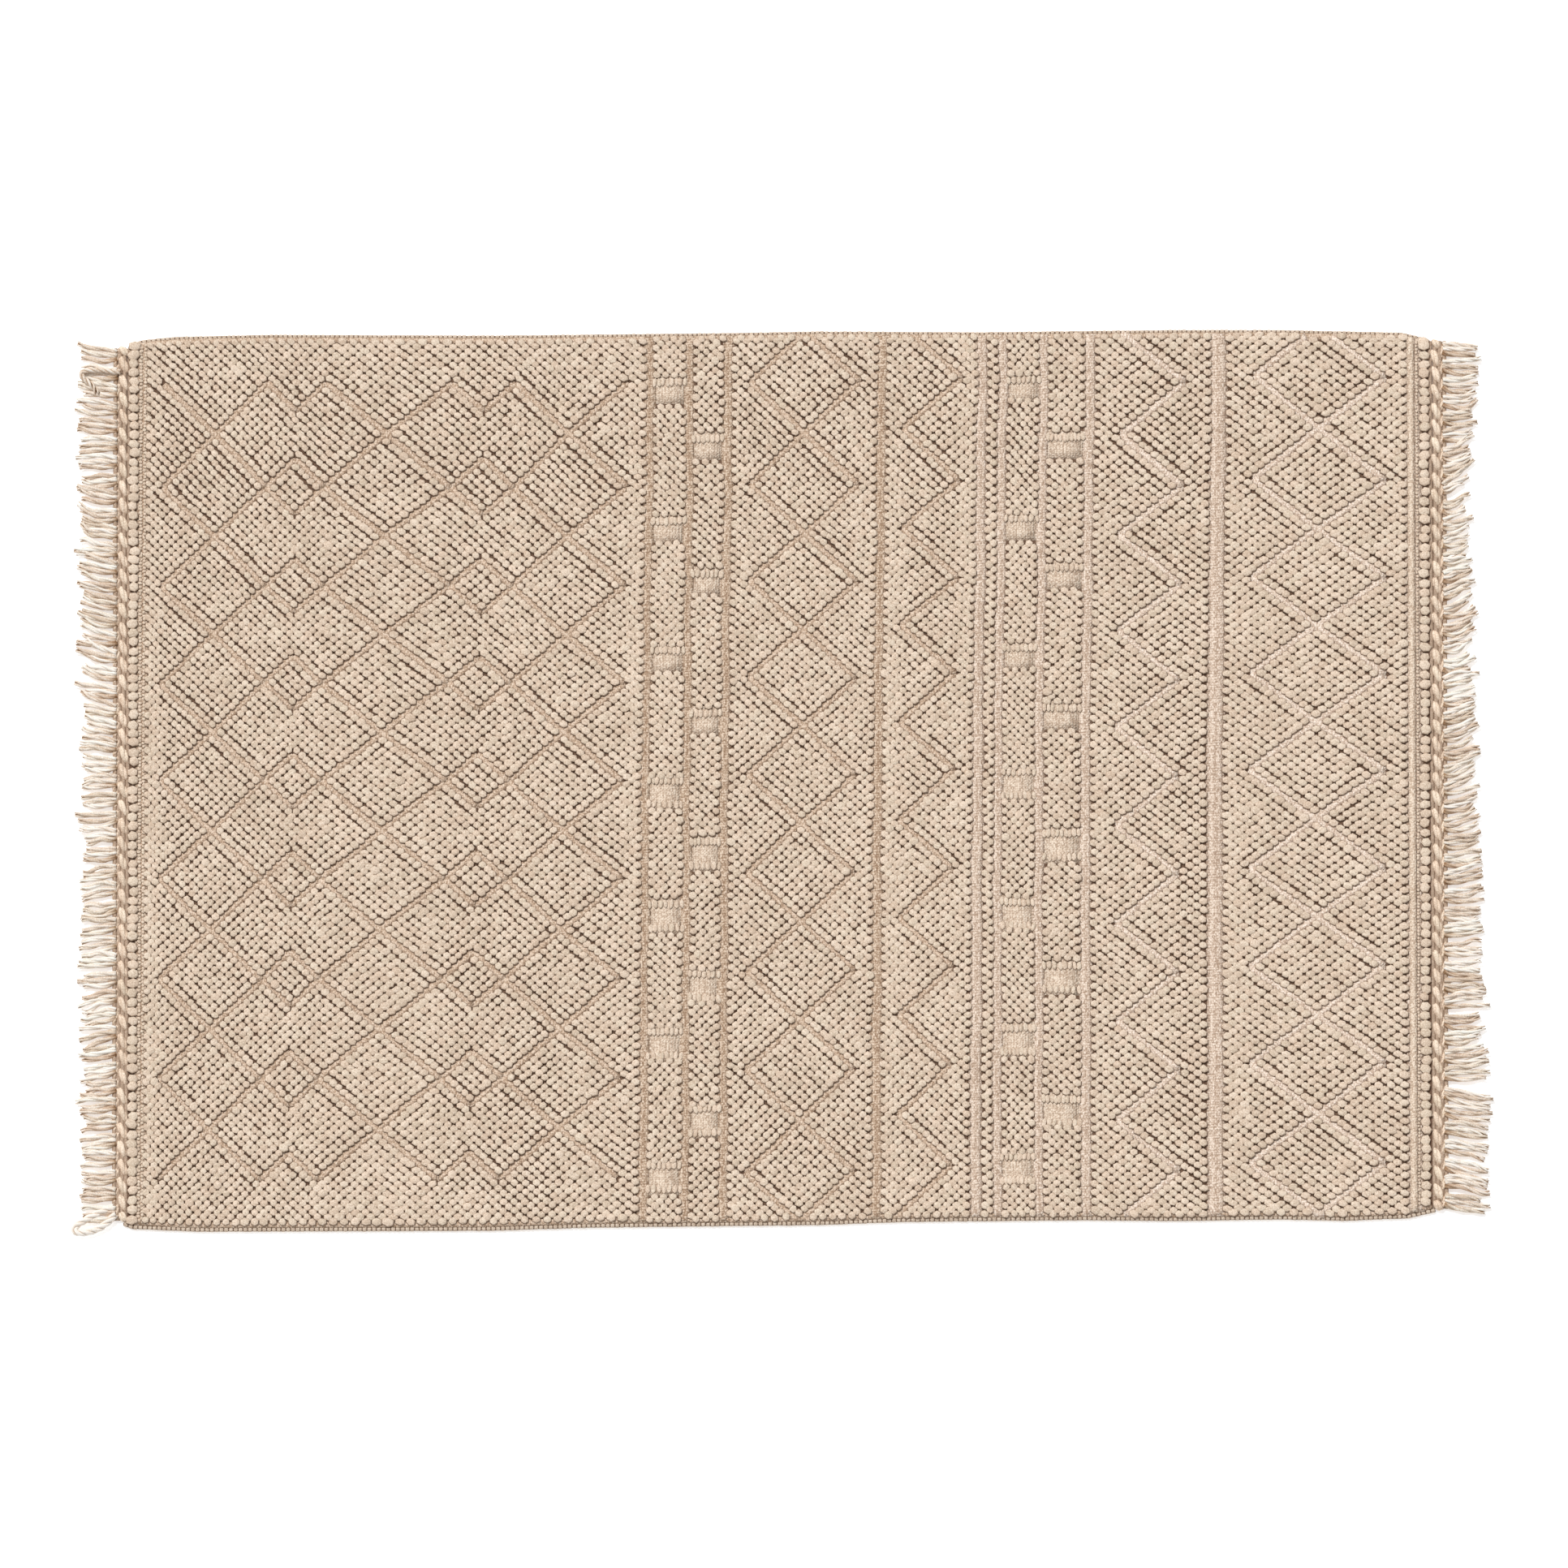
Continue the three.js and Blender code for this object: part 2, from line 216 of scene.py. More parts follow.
def scatter(name, along, across, half_along, half_across, height, turn, painted_shade_rim=1.0, lean=0.0):
    """Copies of the loop at places of the loom's plan, each a little different.
    A low rim keeps the painted shade of the gaps to the very foot of each, and a loop that
    leans is drawn out towards one pair of its neighbours and away from the other."""
    count = len(along)
    x, y = settle(along, across)
    corners = len(LOOP_POINTS)
    size = 1 + draw.normal(0, SIZE_VARIES, (count, 3))
    reach = np.stack([half_along, half_across, height + LOOP_SINK], axis=1) * size
    shape = LOOP_POINTS[None] * (1 + draw.normal(0, CORNERS_VARY, (count, corners, 1)))
    lean = (lean * np.ones(count))[:, None]
    leant_along = shape[..., 0] - lean * shape[..., 1]
    leant_across = shape[..., 1] - lean * shape[..., 0]
    shape = np.stack([leant_along, leant_across, shape[..., 2]], axis=2) * reach[:, None, :]
    c, s = np.cos(turn)[:, None], np.sin(turn)[:, None]
    px = shape[..., 0] * c - shape[..., 1] * s + x[:, None]
    py = shape[..., 0] * s + shape[..., 1] * c + y[:, None]
    pz = shape[..., 2] + FLAT_WEAVE_TOP - LOOP_SINK
    points = np.stack([px, py, pz], axis=2).reshape(-1, 3)
    faces = (LOOP_FACES[None] + corners * np.arange(count)[:, None, None]).reshape(-1, 3)
    yarn = np.ones((count, corners, 4))
    yarn[..., 0] = draw.random(count)[:, None]
    yarn[..., 1] = draw.random(count)[:, None]
    # Painted shade: the loop's painted light level falls with its height, down to dark at its foot.
    yarn[..., 2] = np.clip(LOOP_POINTS[None, :, 2], 0, 1) ** painted_shade_rim
    return flatten_crowns(woven_piece(name, points, faces, yarn))


# The chart of the weave: columns count along the rug, rows across it
def chain(step, row):
    """Flat places that cross over and over within half a chain of a middle column."""
    near = np.abs(step) <= HALF_CHAIN
    up = (step + row) % ROWS_IN_PITCH == HALF_CHAIN
    down = (step - row) % ROWS_IN_PITCH == HALF_CHAIN
    return near & (up | down)


def lattice_chart(column, row):
    """The wide field: three chains of lozenges joined by small ones."""
    inside = (row >= 0) & (row <= LAST_ROW)
    flat = np.zeros(column.shape, dtype=bool)
    for middle in CHAIN_MIDDLES:
        flat |= chain(column - middle, row)
    for middle in SMALL_LOZENGE_MIDDLES:
        from_node = np.abs((row + HALF_CHAIN) % ROWS_IN_PITCH - HALF_CHAIN)
        flat |= np.abs(column - middle) + from_node == SMALL_LOZENGE
    return flat & inside


def zigzag_chart(column, row):
    return chain(column, row) & (column >= 0)


def plain_chart(column, row):
    return np.zeros(column.shape, dtype=bool)


def station(places, column):
    """Where a chart column lies along the rug: straight between its listed places and beyond them."""
    table = np.array(places, dtype=float)
    before = (table[1, 1] - table[0, 1]) / (table[1, 0] - table[0, 0])
    after = (table[-1, 1] - table[-2, 1]) / (table[-1, 0] - table[-2, 0])
    at = np.interp(column, table[:, 0], table[:, 1])
    at = at + np.minimum(column - table[0, 0], 0) * before
    at = at + np.maximum(column - table[-1, 0], 0) * after
    return at * MM


def chart_places(first, last, places, top, chart, parity):
    """Loops of one band: where each sits and its room along the rug.
    A loop beside a flat line leans a little over it."""
    rows_past = int(math.ceil((HALF_WIDTH - top) / ROW)) + 2
    column, row = np.meshgrid(np.arange(first, last + 1),
                              np.arange(-rows_past, LAST_ROW + rows_past + 4), indexing="ij")
    column, row = column.ravel(), row.ravel()
    along = station(places, column)
    step = station(places, column + 0.5) - station(places, column - 0.5)
    across = top - row * ROW
    rising = 1.0 * chart(column + 1, row + 1) - chart(column - 1, row - 1)
    falling = 1.0 * chart(column + 1, row - 1) - chart(column - 1, row + 1)
    along = along + LEAN_OVER_RISING * rising + LEAN_OVER_FALLING * falling
    across = across - LEAN_OVER_RISING * rising + LEAN_OVER_FALLING * falling
    across = drift_rows(across, places)
    keep = (column + row) % 2 == parity
    keep &= ~chart(column, row)
    keep &= np.abs(across) < LAST_LOOP + PAST_LAST_LOOP
    return along[keep], np.clip(across[keep], -LAST_LOOP, LAST_LOOP), step[keep]


# Bands of the rug: the first and last column of each and its chart, where row 0 lies across the rug,
# which places have a loop, the even or the odd ones, and some columns' places along the rug in mm
BANDS = {
    "loops_field": {
        "first": -3, "last": 93, "chart": lattice_chart, "top": LATTICE_TOP + 2.7 * MM, "parity": 0,
        "places": ((0, -1070), (11, -983.5), (22, -895), (34, -794), (45, -688), (56, -574),
                   (68, -469), (79, -374.7), (90, -272)),
    },
    "loops_strip_a": {"first": 0, "last": 6, "chart": plain_chart, "top": LATTICE_TOP, "parity": 0,
                      "places": ((0, -217.5), (6, -169))},
    "loops_strip_b": {"first": 0, "last": 5, "chart": plain_chart, "top": LATTICE_TOP, "parity": 1,
                      "places": ((0, -145), (5, -104.5))},
    "loops_lozenges_left": {
        "first": -14, "last": 14, "chart": chain, "top": LATTICE_TOP + 2.4 * MM, "parity": 1,
        "places": ((-14, -79), (14, 159)),
    },
    "loops_zigzag_left": {
        "first": -3, "last": 14, "chart": zigzag_chart, "top": LATTICE_TOP + 9.3 * MM, "parity": 1,
        "places": ((0, 213), (11, 309)),
    },
    "loops_narrow": {"first": 0, "last": 1, "chart": plain_chart, "top": LATTICE_TOP, "parity": 0,
                     "places": ((0, 367.5), (1, 375.5))},
    "loops_strip_c": {"first": 0, "last": 6, "chart": plain_chart, "top": LATTICE_TOP, "parity": 0,
                      "places": ((0, 402.5), (6, 448))},
    "loops_strip_d": {"first": 0, "last": 6, "chart": plain_chart, "top": LATTICE_TOP, "parity": 1,
                      "places": ((0, 474.5), (6, 527))},
    "loops_zigzag_right": {
        "first": -4, "last": 15, "chart": zigzag_chart, "top": LATTICE_TOP - 1.5 * MM, "parity": 1,
        "places": ((0, 595), (11, 699)),
    },
    "loops_lozenges_right": {
        "first": -15, "last": 14, "chart": chain, "top": LATTICE_TOP + 10 * MM, "parity": 1,
        "places": ((-15, 778), (14, 1081.4)),
    },
}

# Flat bars across the strips: where the middle of each lies, in mm
BARS = {
    "loops_strip_a": (689, 440, 206, -27, -249, -477, -713),
    "loops_strip_b": (586, 344, 94, -137, -373, -613),
    "loops_strip_c": (690, 443, 212, -12, -246, -473, -706),
    "loops_strip_d": (587, 353, 103, -121, -360, -602),
}
BAR_HALF = 13.5 * MM
# The upright stitches' half sizes across and along the rug, their spacing, and how far their
# rows go past the strip's outer columns
UPRIGHT_HALF = 8.0 * MM
UPRIGHT_WIDTH = 4.7 * MM
UPRIGHT_PITCH = 8.4 * MM
UPRIGHT_OVERLAP = 1.12
UPRIGHTS_PAST = 4 * MM
# Height of the upright stitches behind a bar and in front of it
UPRIGHT_HEIGHTS = {1: 3.6 * MM, -1: 2.8 * MM}
# Room in front of a bar that has no stitches there
BARE_BAR_FRONT = ROW * 0.3

# Half sizes of the loops, as shares of a column's and a row's room
LOOP_REACH_ALONG = 0.96
LOOP_REACH_ACROSS = 0.94
# How far they turn and stray, and how much they differ in height
LOOP_TURNS = 0.13
LOOP_STRAYS_ALONG = 0.55 * MM
LOOP_STRAYS_ACROSS = 0.5 * MM
HEIGHT_VARIES = 0.06
# The share of loops that are big, and how big they are
BIG_LOOPS = 0.05
BIG_LOOP_SIZE = 1.16
# How much the loops lean all over, and more towards two corners
LEAN_ALL = 0.012
LEAN_BACK_LEFT = 0.088
LEAN_BACK_STARTS = -0.40
LEAN_FRONT_RIGHT = 0.07


def loop_lean(along, across):
    """The loops lean down to the right towards the back left and the front right corners."""
    x, y = along / RUG_END, across / HALF_WIDTH
    back_left = LEAN_BACK_LEFT * np.clip(y - LEAN_BACK_STARTS, 0, 1) * (1 - x) / 2
    front_right = LEAN_FRONT_RIGHT * np.clip(-y, 0, 1) * np.clip(x, 0, 1)
    return LEAN_ALL + back_left + front_right + waves(along, across, LEAN_WAVES)


def astray(places, spread):
    """Places that each stray a little."""
    return places + draw.normal(0, spread, len(places))


def lay_loops(name, along, across, step):
    """Loops as wide as their column allows, turned a little with the hand of the weaver."""
    count = len(along)
    lean = loop_lean(along, across)
    turn = draw.normal(0, LOOP_TURNS, count)
    along = astray(along, LOOP_STRAYS_ALONG)
    across = astray(across, LOOP_STRAYS_ACROSS)
    big = np.where(draw.random(count) < BIG_LOOPS, BIG_LOOP_SIZE, 1.0)
    height = (LOOP_CROWN - FLAT_WEAVE_TOP) * (1 + draw.normal(0, HEIGHT_VARIES, count)) * big
    return scatter(name, along, across, step * LOOP_REACH_ALONG * big,
                   np.full(count, ROW * LOOP_REACH_ACROSS) * big, height, turn, lean=lean)


def clear_of_bars(across, bars):
    """Loops end at the upright stitches behind each flat bar, and in front where it has them."""
    keep = np.ones(len(across), dtype=bool)
    for bar in bars:
        middle = bar * MM
        back = BAR_HALF + 2 * UPRIGHT_HALF
        front = BAR_HALF + (2 * UPRIGHT_HALF if middle < 0 else BARE_BAR_FRONT)
        keep &= (across > middle + back) | (across < middle - front)
    return keep


# The pieces of the wide field: name, start and end along the rug
FIELD_PARTS = (("left", -2, -0.845), ("middle", -0.845, -0.52), ("right", -0.52, 1))


def band_pieces():
    """The loops of every band; the wide field's are made in three pieces."""
    laid = []
    for name, band in BANDS.items():
        plan = chart_places(**band)
        if name in BARS:
            keep = clear_of_bars(plan[1], BARS[name])
            plan = [values[keep] for values in plan]
        if name == "loops_field":
            for part, low, high in FIELD_PARTS:
                own = (plan[0] >= low) & (plan[0] < high)
                laid.append(lay_loops(f"{name}_{part}", *[values[own] for values in plan]))
        else:
            laid.append(lay_loops(name, *plan))
    return laid


def strip_sides(name):
    """Where the first and the last column of a strip lie along the rug."""
    places = BANDS[name]["places"]
    return places[0][1] * MM, places[-1][1] * MM


def upright_stitches():
    """A row of upright stitches behind each flat bar, and a lower one in front of the nearer bars."""
    along, across, height = [], [], []
    for name, bars in BARS.items():
        left, right = strip_sides(name)
        low, high = left - UPRIGHTS_PAST, right + UPRIGHTS_PAST
        for bar in bars:
            for side in (-1, 1) if bar < 0 else (1,):
                number = int(round((high - low) / (UPRIGHT_PITCH * draw.uniform(0.8, 1.15)))) + 1
                along.extend(astray(np.linspace(low, high, number), 0.6 * MM))
                across.extend([bar * MM + side * (BAR_HALF + UPRIGHT_HALF)] * number)
                height.extend([UPRIGHT_HEIGHTS[side]] * number)
    along, across, height = np.array(along), np.array(across), np.array(height)
    count = len(along)
    return scatter("upright_stitches", along, astray(across, 0.7 * MM),
                   UPRIGHT_WIDTH * draw.uniform(0.8, 1.15, count),
                   np.full(count, UPRIGHT_HALF * UPRIGHT_OVERLAP),
                   height, draw.normal(0, 0.10, count), painted_shade_rim=0.5)


# The column of fat loops at each end: its place, the spacing of its loops and its reach across
END_COLUMNS = (-1.1200, 1.1185)
END_LOOP_PITCH = 16.6 * MM
END_COLUMN_FRONT = -0.786
END_COLUMN_BACK = 0.792


def end_columns():
    """The single column of fat loops beside each heading."""
    rows = np.arange(END_COLUMN_FRONT, END_COLUMN_BACK, END_LOOP_PITCH)
    along = np.repeat(END_COLUMNS, len(rows))
    across = np.clip(np.concatenate([rows, rows + END_LOOP_PITCH / 3]), -LAST_LOOP, LAST_LOOP)
    count = len(along)
    return scatter("end_column_loops", astray(along, 0.9 * MM), astray(across, 1.1 * MM),
                   draw.uniform(9.8, 11.8, count) * MM, draw.uniform(9.2, 10.4, count) * MM,
                   draw.uniform(5.4, 7.0, count) * MM, draw.normal(0, 0.25, count), painted_shade_rim=0.6)


# Columns of small nubs beside the end columns: place and half size along the rug, in mm
NUB_COLUMNS = ((-1108.5, 4.0), (-1101.5, 3.6), (1106.0, 3.0))
NUB_PITCH = 6.2 * MM
NUB_COLUMN_END = 0.785


def nub_columns():
    """Small nubs of the flat weave that stand up between the field and the end columns."""
    rows = np.arange(-NUB_COLUMN_END, NUB_COLUMN_END, NUB_PITCH)
    along, half = np.repeat(NUB_COLUMNS, len(rows), axis=0).T * MM
    across = np.concatenate([rows + i * NUB_PITCH / 2 for i in range(len(NUB_COLUMNS))])
    count = len(along)
    return scatter("nub_columns", astray(along, 0.5 * MM), astray(across, 0.5 * MM),
                   half * draw.uniform(0.85, 1.1, count),
                   np.full(count, NUB_PITCH * 0.55), draw.uniform(2.4, 3.6, count) * MM,
                   draw.normal(0, 0.3, count), painted_shade_rim=0.8)


pieces = [*band_pieces(), upright_stitches(), end_columns(), nub_columns()]


# The flat weave under everything
GRID_ALONG = 90
GRID_ACROSS = 60
SHARP_EDGE = math.radians(40)


def make_cloth():
    """A thin closed cloth with the rug's outline, flat on the floor."""
    clear_selection()
    bpy.ops.mesh.primitive_grid_add(x_subdivisions=GRID_ALONG, y_subdivisions=GRID_ACROSS, size=2)
    cloth = bpy.context.object
    cloth.name = "flat_weave"
    mesh = cloth.data
    points = np.array([v.co for v in mesh.vertices])
    x, y = settle(points[:, 0] * HALF_LENGTH, points[:, 1] * CLOTH_EDGE)
    mesh.vertices.foreach_set("co", np.stack([x, y, np.full(len(x), CLOTH_FOOT)], axis=1).ravel())
    mesh.update()
    bpy.ops.object.mode_set(mode="EDIT")
    bpy.ops.mesh.select_all(action="SELECT")
    up = (0, 0, FLAT_WEAVE_TOP - CLOTH_FOOT)
    bpy.ops.mesh.extrude_region_move(TRANSFORM_OT_translate={"value": up})
    bpy.ops.mesh.select_all(action="SELECT")
    bpy.ops.mesh.normals_make_consistent(inside=False)
    bpy.ops.object.mode_set(mode="OBJECT")
    bpy.ops.object.shade_smooth_by_angle(angle=SHARP_EDGE)
    return cloth


cloth = make_cloth()


# Tubes and plied yarns
def side_and_top(path):
    """Two directions square to a path at each of its points: to its side, and up."""
    forward = np.gradient(path, axis=0)
    forward /= np.linalg.norm(forward, axis=1)[:, None]
    side = np.cross((0.0, 0.0, 1.0), forward)
    side /= np.linalg.norm(side, axis=1)[:, None]
    return side, np.cross(forward, side)


def length_along(path):
    return np.concatenate([[0], np.cumsum(np.linalg.norm(np.diff(path, axis=0), axis=1))])


def tube(path, radii, sides):
    """Points and triangles of a closed tube along a path."""
    side, top = side_and_top(path)
    angle = np.linspace(0, 2 * np.pi, sides, endpoint=False)
    points = (path[:, None] + side[:, None] * (radii[:, None] * np.cos(angle))[..., None]
              + top[:, None] * (radii[:, None] * np.sin(angle))[..., None])
    points = np.concatenate([points.reshape(-1, 3), path[:1], path[-1:]])
    return points, skin(len(path), sides)


def skin(count, sides):
    """Triangles over rings of points, closed at both ends by the two points that come after them."""
    ring = np.arange(sides)
    after = (ring + 1) % sides
    faces = []
    for i in range(count - 1):
        a, b = i * sides + ring, i * sides + after
        c, d = (i + 1) * sides + after, (i + 1) * sides + ring
        faces.append(np.stack([a, b, c], axis=1))
        faces.append(np.stack([a, c, d], axis=1))
    first, last = count * sides, count * sides + 1
    faces.append(np.stack([ring * 0 + first, after, ring], axis=1))
    end = (count - 1) * sides
    faces.append(np.stack([ring * 0 + last, end + ring, end + after], axis=1))
    return np.concatenate(faces)


# The third value is the yarn's painted light level: low values paint shade on it.
def yarn_values(count, tone, warmth, painted_light):
    values = np.ones((count, 4))
    values[:, 0], values[:, 1], values[:, 2] = tone, warmth, painted_light
    return values


PLIES = 3
# The share of a yarn's length that is its tip, and the painted light level of its cut ends, which
# paints shade on them
YARN_TIP = 0.28
END_PAINTED_LIGHT = 0.3
ABOVE_FLOOR = 0.2 * MM
# How much the plies differ in thickness along them, and in tone from each other
THICKNESS_VARIES = 0.03
TONE_VARIES = 0.24


def plied(path, ply_radius, core, twist, sides=6, splay=0.0, thin_tip=0.0, underside_shade=0.0, painted_shade_dim=1.0):
    """A yarn of plies wound round a path: core is their distance from it, twist the turn's length.
    Painted shade darkens it between the plies, on its lower side by the given share, and along it by
    the given painted shadow."""
    ply_radius, core = ply_radius * np.ones(len(path)), core * np.ones(len(path))
    painted_shade_dim = painted_shade_dim * np.ones(len(path))
    side, top = side_and_top(path)
    length = length_along(path)
    tip = np.clip((length / length[-1] - (1 - YARN_TIP)) / YARN_TIP, 0, 1)
    start = draw.uniform(0, 2 * math.pi)
    tone, warmth = draw.random(2)
    parts = []
    for i in range(PLIES):
        angle = start + 2 * math.pi * (length / twist + i / PLIES)
        away = core * (1 + splay * tip * draw.uniform(0.2, 1.8))
        centre = path + side * (away * np.cos(angle))[:, None] + top * (away * np.sin(angle))[:, None]
        radius = ply_radius * (1 - thin_tip * tip) * (1 + draw.normal(0, THICKNESS_VARIES, len(path)))
        centre[:, 2] = np.maximum(centre[:, 2], radius + ABOVE_FLOOR)
        points, faces = tube(centre, radius, sides)
        round_ply = np.linspace(0, 2 * math.pi, sides, endpoint=False)
        outward = 0.5 + 0.5 * np.cos(angle[:, None] - round_ply)
        above = points[:-2, 2].reshape(len(path), sides) - path[:, 2:]
        above = above / (2 * (ply_radius + core))[:, None]
        # Painted shade: dark between the plies and on the yarn's lower side, times the painted shadow
        # along it.
        painted_light = ((1 - underside_shade) * outward + underside_shade * np.clip(0.5 + above, 0, 1)) * painted_shade_dim[:, None]
        painted_light = np.concatenate([painted_light.ravel(), [END_PAINTED_LIGHT] * 2])
        ply_tone = np.clip(tone + draw.normal(0, TONE_VARIES), 0, 1)
        parts.append((points, faces, yarn_values(len(points), ply_tone, warmth, painted_light)))
    return parts


def join_parts(name, parts):
    """Several (points, faces, yarn) runs as one mesh."""
    points, faces, yarn, count = [], [], [], 0
    for part_points, part_faces, part_yarn in parts:
        points.append(part_points)
        faces.append(part_faces + count)
        yarn.append(part_yarn)
        count += len(part_points)
    return woven_piece(name, np.concatenate(points), np.concatenate(faces), np.concatenate(yarn))


# Flat woven lines that show between the loops, laid on the cloth's top, which is painted in dark shade
LINE_SINK = 1.0 * MM
LINE_LOW = 0.3 * MM
LINE_HIGH = 0.6 * MM
# Section of a line from left to right: share of its half width, and height over the cloth
LINE_SECTION = ((1, -LINE_SINK), (1, 0), (0, LINE_HIGH), (-1, 0), (-1, -LINE_SINK))
LINE_SIDES = len(LINE_SECTION)
RISING_HALF = 6.2 * MM
FALLING_HALF = 7.2 * MM
WIDER_AT_RIGHT = 1.6 * MM
# Middle and width of each flat column, and of the line beside the right end column, in mm
FLAT_COLUMNS = ((-1104, 24), (-230.6, 21), (-157, 19), (-92, 20), (173, 23), (351, 23), (389.5, 19),
                (461, 19), (542, 22), (757, 32), (1100, 30))
END_LINE = (1096.2, 12.5)
END_LINE_LIFT = 3.6 * MM
COLUMNS_AT_LEFT = 5
COLUMN_POINTS = 140
BAR_POINTS = 4
BAR_PAST_SIDES = 6 * MM
# How far a bar's cloth goes on under the loops behind it, those in front, and those of a bare side
UNDER_LOOPS_BACK = 5 * MM
UNDER_LOOPS_FRONT = 3 * MM
UNDER_LOOPS_BARE = 4 * MM
EDGE_LINE_HALF = 5.5 * MM
EDGE_LINE_POINTS = 80


def flat_line(x, y, half_width, lift):
    """A thin flat line of cloth along a path, with its place across and along kept at its points."""
    plan = np.stack([x, y], axis=1)
    forward = np.gradient(plan, axis=0)
    forward /= np.linalg.norm(forward, axis=1)[:, None]
    left = np.stack([-forward[:, 1], forward[:, 0]], axis=1)
    share, rise = np.array(LINE_SECTION).T
    count = len(x)
    points = np.empty((count, LINE_SIDES, 3))
    points[..., :2] = plan[:, None] + left[:, None] * (share * half_width)[:, None]
    points[..., 2] = FLAT_WEAVE_TOP + rise + lift
    ends = np.column_stack([plan[[0, -1]], [FLAT_WEAVE_TOP] * 2])
    yarn = np.ones((count * LINE_SIDES + 2, 4))
    yarn[:-2, 0] = np.tile(0.5 + 0.5 * share, count)
    yarn[:-2, 1] = np.repeat(length_along(plan), LINE_SIDES)
    return np.concatenate([points.reshape(-1, 3), ends]), skin(count, LINE_SIDES), yarn


def chart_runs(chart):
    """The straight runs that make up the flat lines of a chart: column and row of both ends."""
    runs = []
    for turn in range(-2, PITCHES + 3):
        row = turn * ROWS_IN_PITCH
        if chart is lattice_chart:
            for middle in CHAIN_MIDDLES:
                runs.append((middle - HALF_CHAIN, row, middle + HALF_CHAIN, row + ROWS_IN_PITCH))
                runs.append((middle - HALF_CHAIN, row + ROWS_IN_PITCH, middle + HALF_CHAIN, row))
            for middle in SMALL_LOZENGE_MIDDLES:
                for side in (-SMALL_LOZENGE, SMALL_LOZENGE):
                    runs.append((middle - SMALL_LOZENGE, row, middle, row + side))
                    runs.append((middle, row + side, middle + SMALL_LOZENGE, row))
        else:
            first = 0 if chart is zigzag_chart else -HALF_CHAIN
            skipped = first + HALF_CHAIN
            runs.append((first, row + skipped, HALF_CHAIN, row + ROWS_IN_PITCH))
            runs.append((first, row + ROWS_IN_PITCH - skipped, HALF_CHAIN, row))
    return runs


def lay_line(band, run, wider):
    """One straight run of a flat line, or nothing where it leaves the cloth."""
    first_column, first_row, last_column, last_row = run
    steps = last_column - first_column + 1
    column = np.linspace(first_column, last_column, steps)
    row = np.linspace(first_row, last_row, steps)
    along = station(band["places"], column)
    across = drift_rows(band["top"] - row * ROW, band["places"])
    inside = np.abs(across) < CLOTH_EDGE + ROW / 2
    across = np.clip(across, -LAST_LOOP, LAST_LOOP)
    if band["chart"] is lattice_chart:
        inside &= (row >= -0.5) & (row <= LAST_ROW + 0.5)
    if inside.sum() < 2:
        return []
    x, y = settle(along[inside], across[inside])
    falls = last_row > first_row
    half_width = (FALLING_HALF if falls else RISING_HALF) + wider
    return [flat_line(x, y, half_width, LINE_HIGH if falls else LINE_LOW)]


def edge_lines():
    """The flat line along each long side, under the outermost loops."""
    along = np.linspace(-1, 1, EDGE_LINE_POINTS) * (HALF_LENGTH - 2 * MM)
    across = np.full(EDGE_LINE_POINTS, CLOTH_EDGE - 4 * MM)
    return [flat_line(*settle(along, side * across), EDGE_LINE_HALF, 0.0) for side in (-1, 1)]


def flat_lines(name, bands, parts, wider=0.0):
    """The lines that part the loops of some bands, joined with other parts."""
    for band in bands:
        for run in chart_runs(BANDS[band]["chart"]):
            parts.extend(lay_line(BANDS[band], run, wider))
    return join_parts(name, parts)


def flat_columns(name, columns, lift):
    """Flat columns from one long side to the other."""
    across = np.linspace(-CLOTH_EDGE, CLOTH_EDGE, COLUMN_POINTS)
    parts = [flat_line(*settle(np.full(COLUMN_POINTS, middle * MM), across), width * MM / 2, lift)
             for middle, width in columns]
    return join_parts(name, parts)


def flat_bars():
    """The flat bars across the strips, which reach under the upright stitches beside them."""
    parts = []
    for name, bars in BARS.items():
        left, right = strip_sides(name)
        middle, half = (left + right) / 2, (right - left) / 2 + BAR_PAST_SIDES
        for bar in bars:
            front = BAR_HALF + (2 * UPRIGHT_HALF + UNDER_LOOPS_FRONT if bar < 0 else UNDER_LOOPS_BARE)
            back = BAR_HALF + 2 * UPRIGHT_HALF + UNDER_LOOPS_BACK
            across = np.linspace(bar * MM - front, bar * MM + back, BAR_POINTS)
            parts.append(flat_line(*settle(np.full(BAR_POINTS, middle), across), half, 0.0))
    return join_parts("flat_bars", parts)


woven_lines = [
    flat_lines("flat_lines_left", ("loops_field", "loops_lozenges_left", "loops_zigzag_left"),
               edge_lines()),
    flat_lines("flat_lines_right", ("loops_zigzag_right", "loops_lozenges_right"), [], WIDER_AT_RIGHT),
    flat_columns("flat_columns_left", FLAT_COLUMNS[:COLUMNS_AT_LEFT], LINE_LOW),
    flat_columns("flat_columns_right", FLAT_COLUMNS[COLUMNS_AT_LEFT:], LINE_LOW),
    flat_bars(),
    flat_columns("end_line", [END_LINE], END_LINE_LIFT),
]


# Overcast cords of the long sides
WRAP_PITCH = 8.2 * MM
WRAP_RINGS = 4
CORD_SIDES = 8
CORD_RADIUS = 4.1 * MM
# How thin the cord is between two wraps, and how much the wraps differ
WRAP_WAIST = 0.76
WRAPS_VARY = 0.04


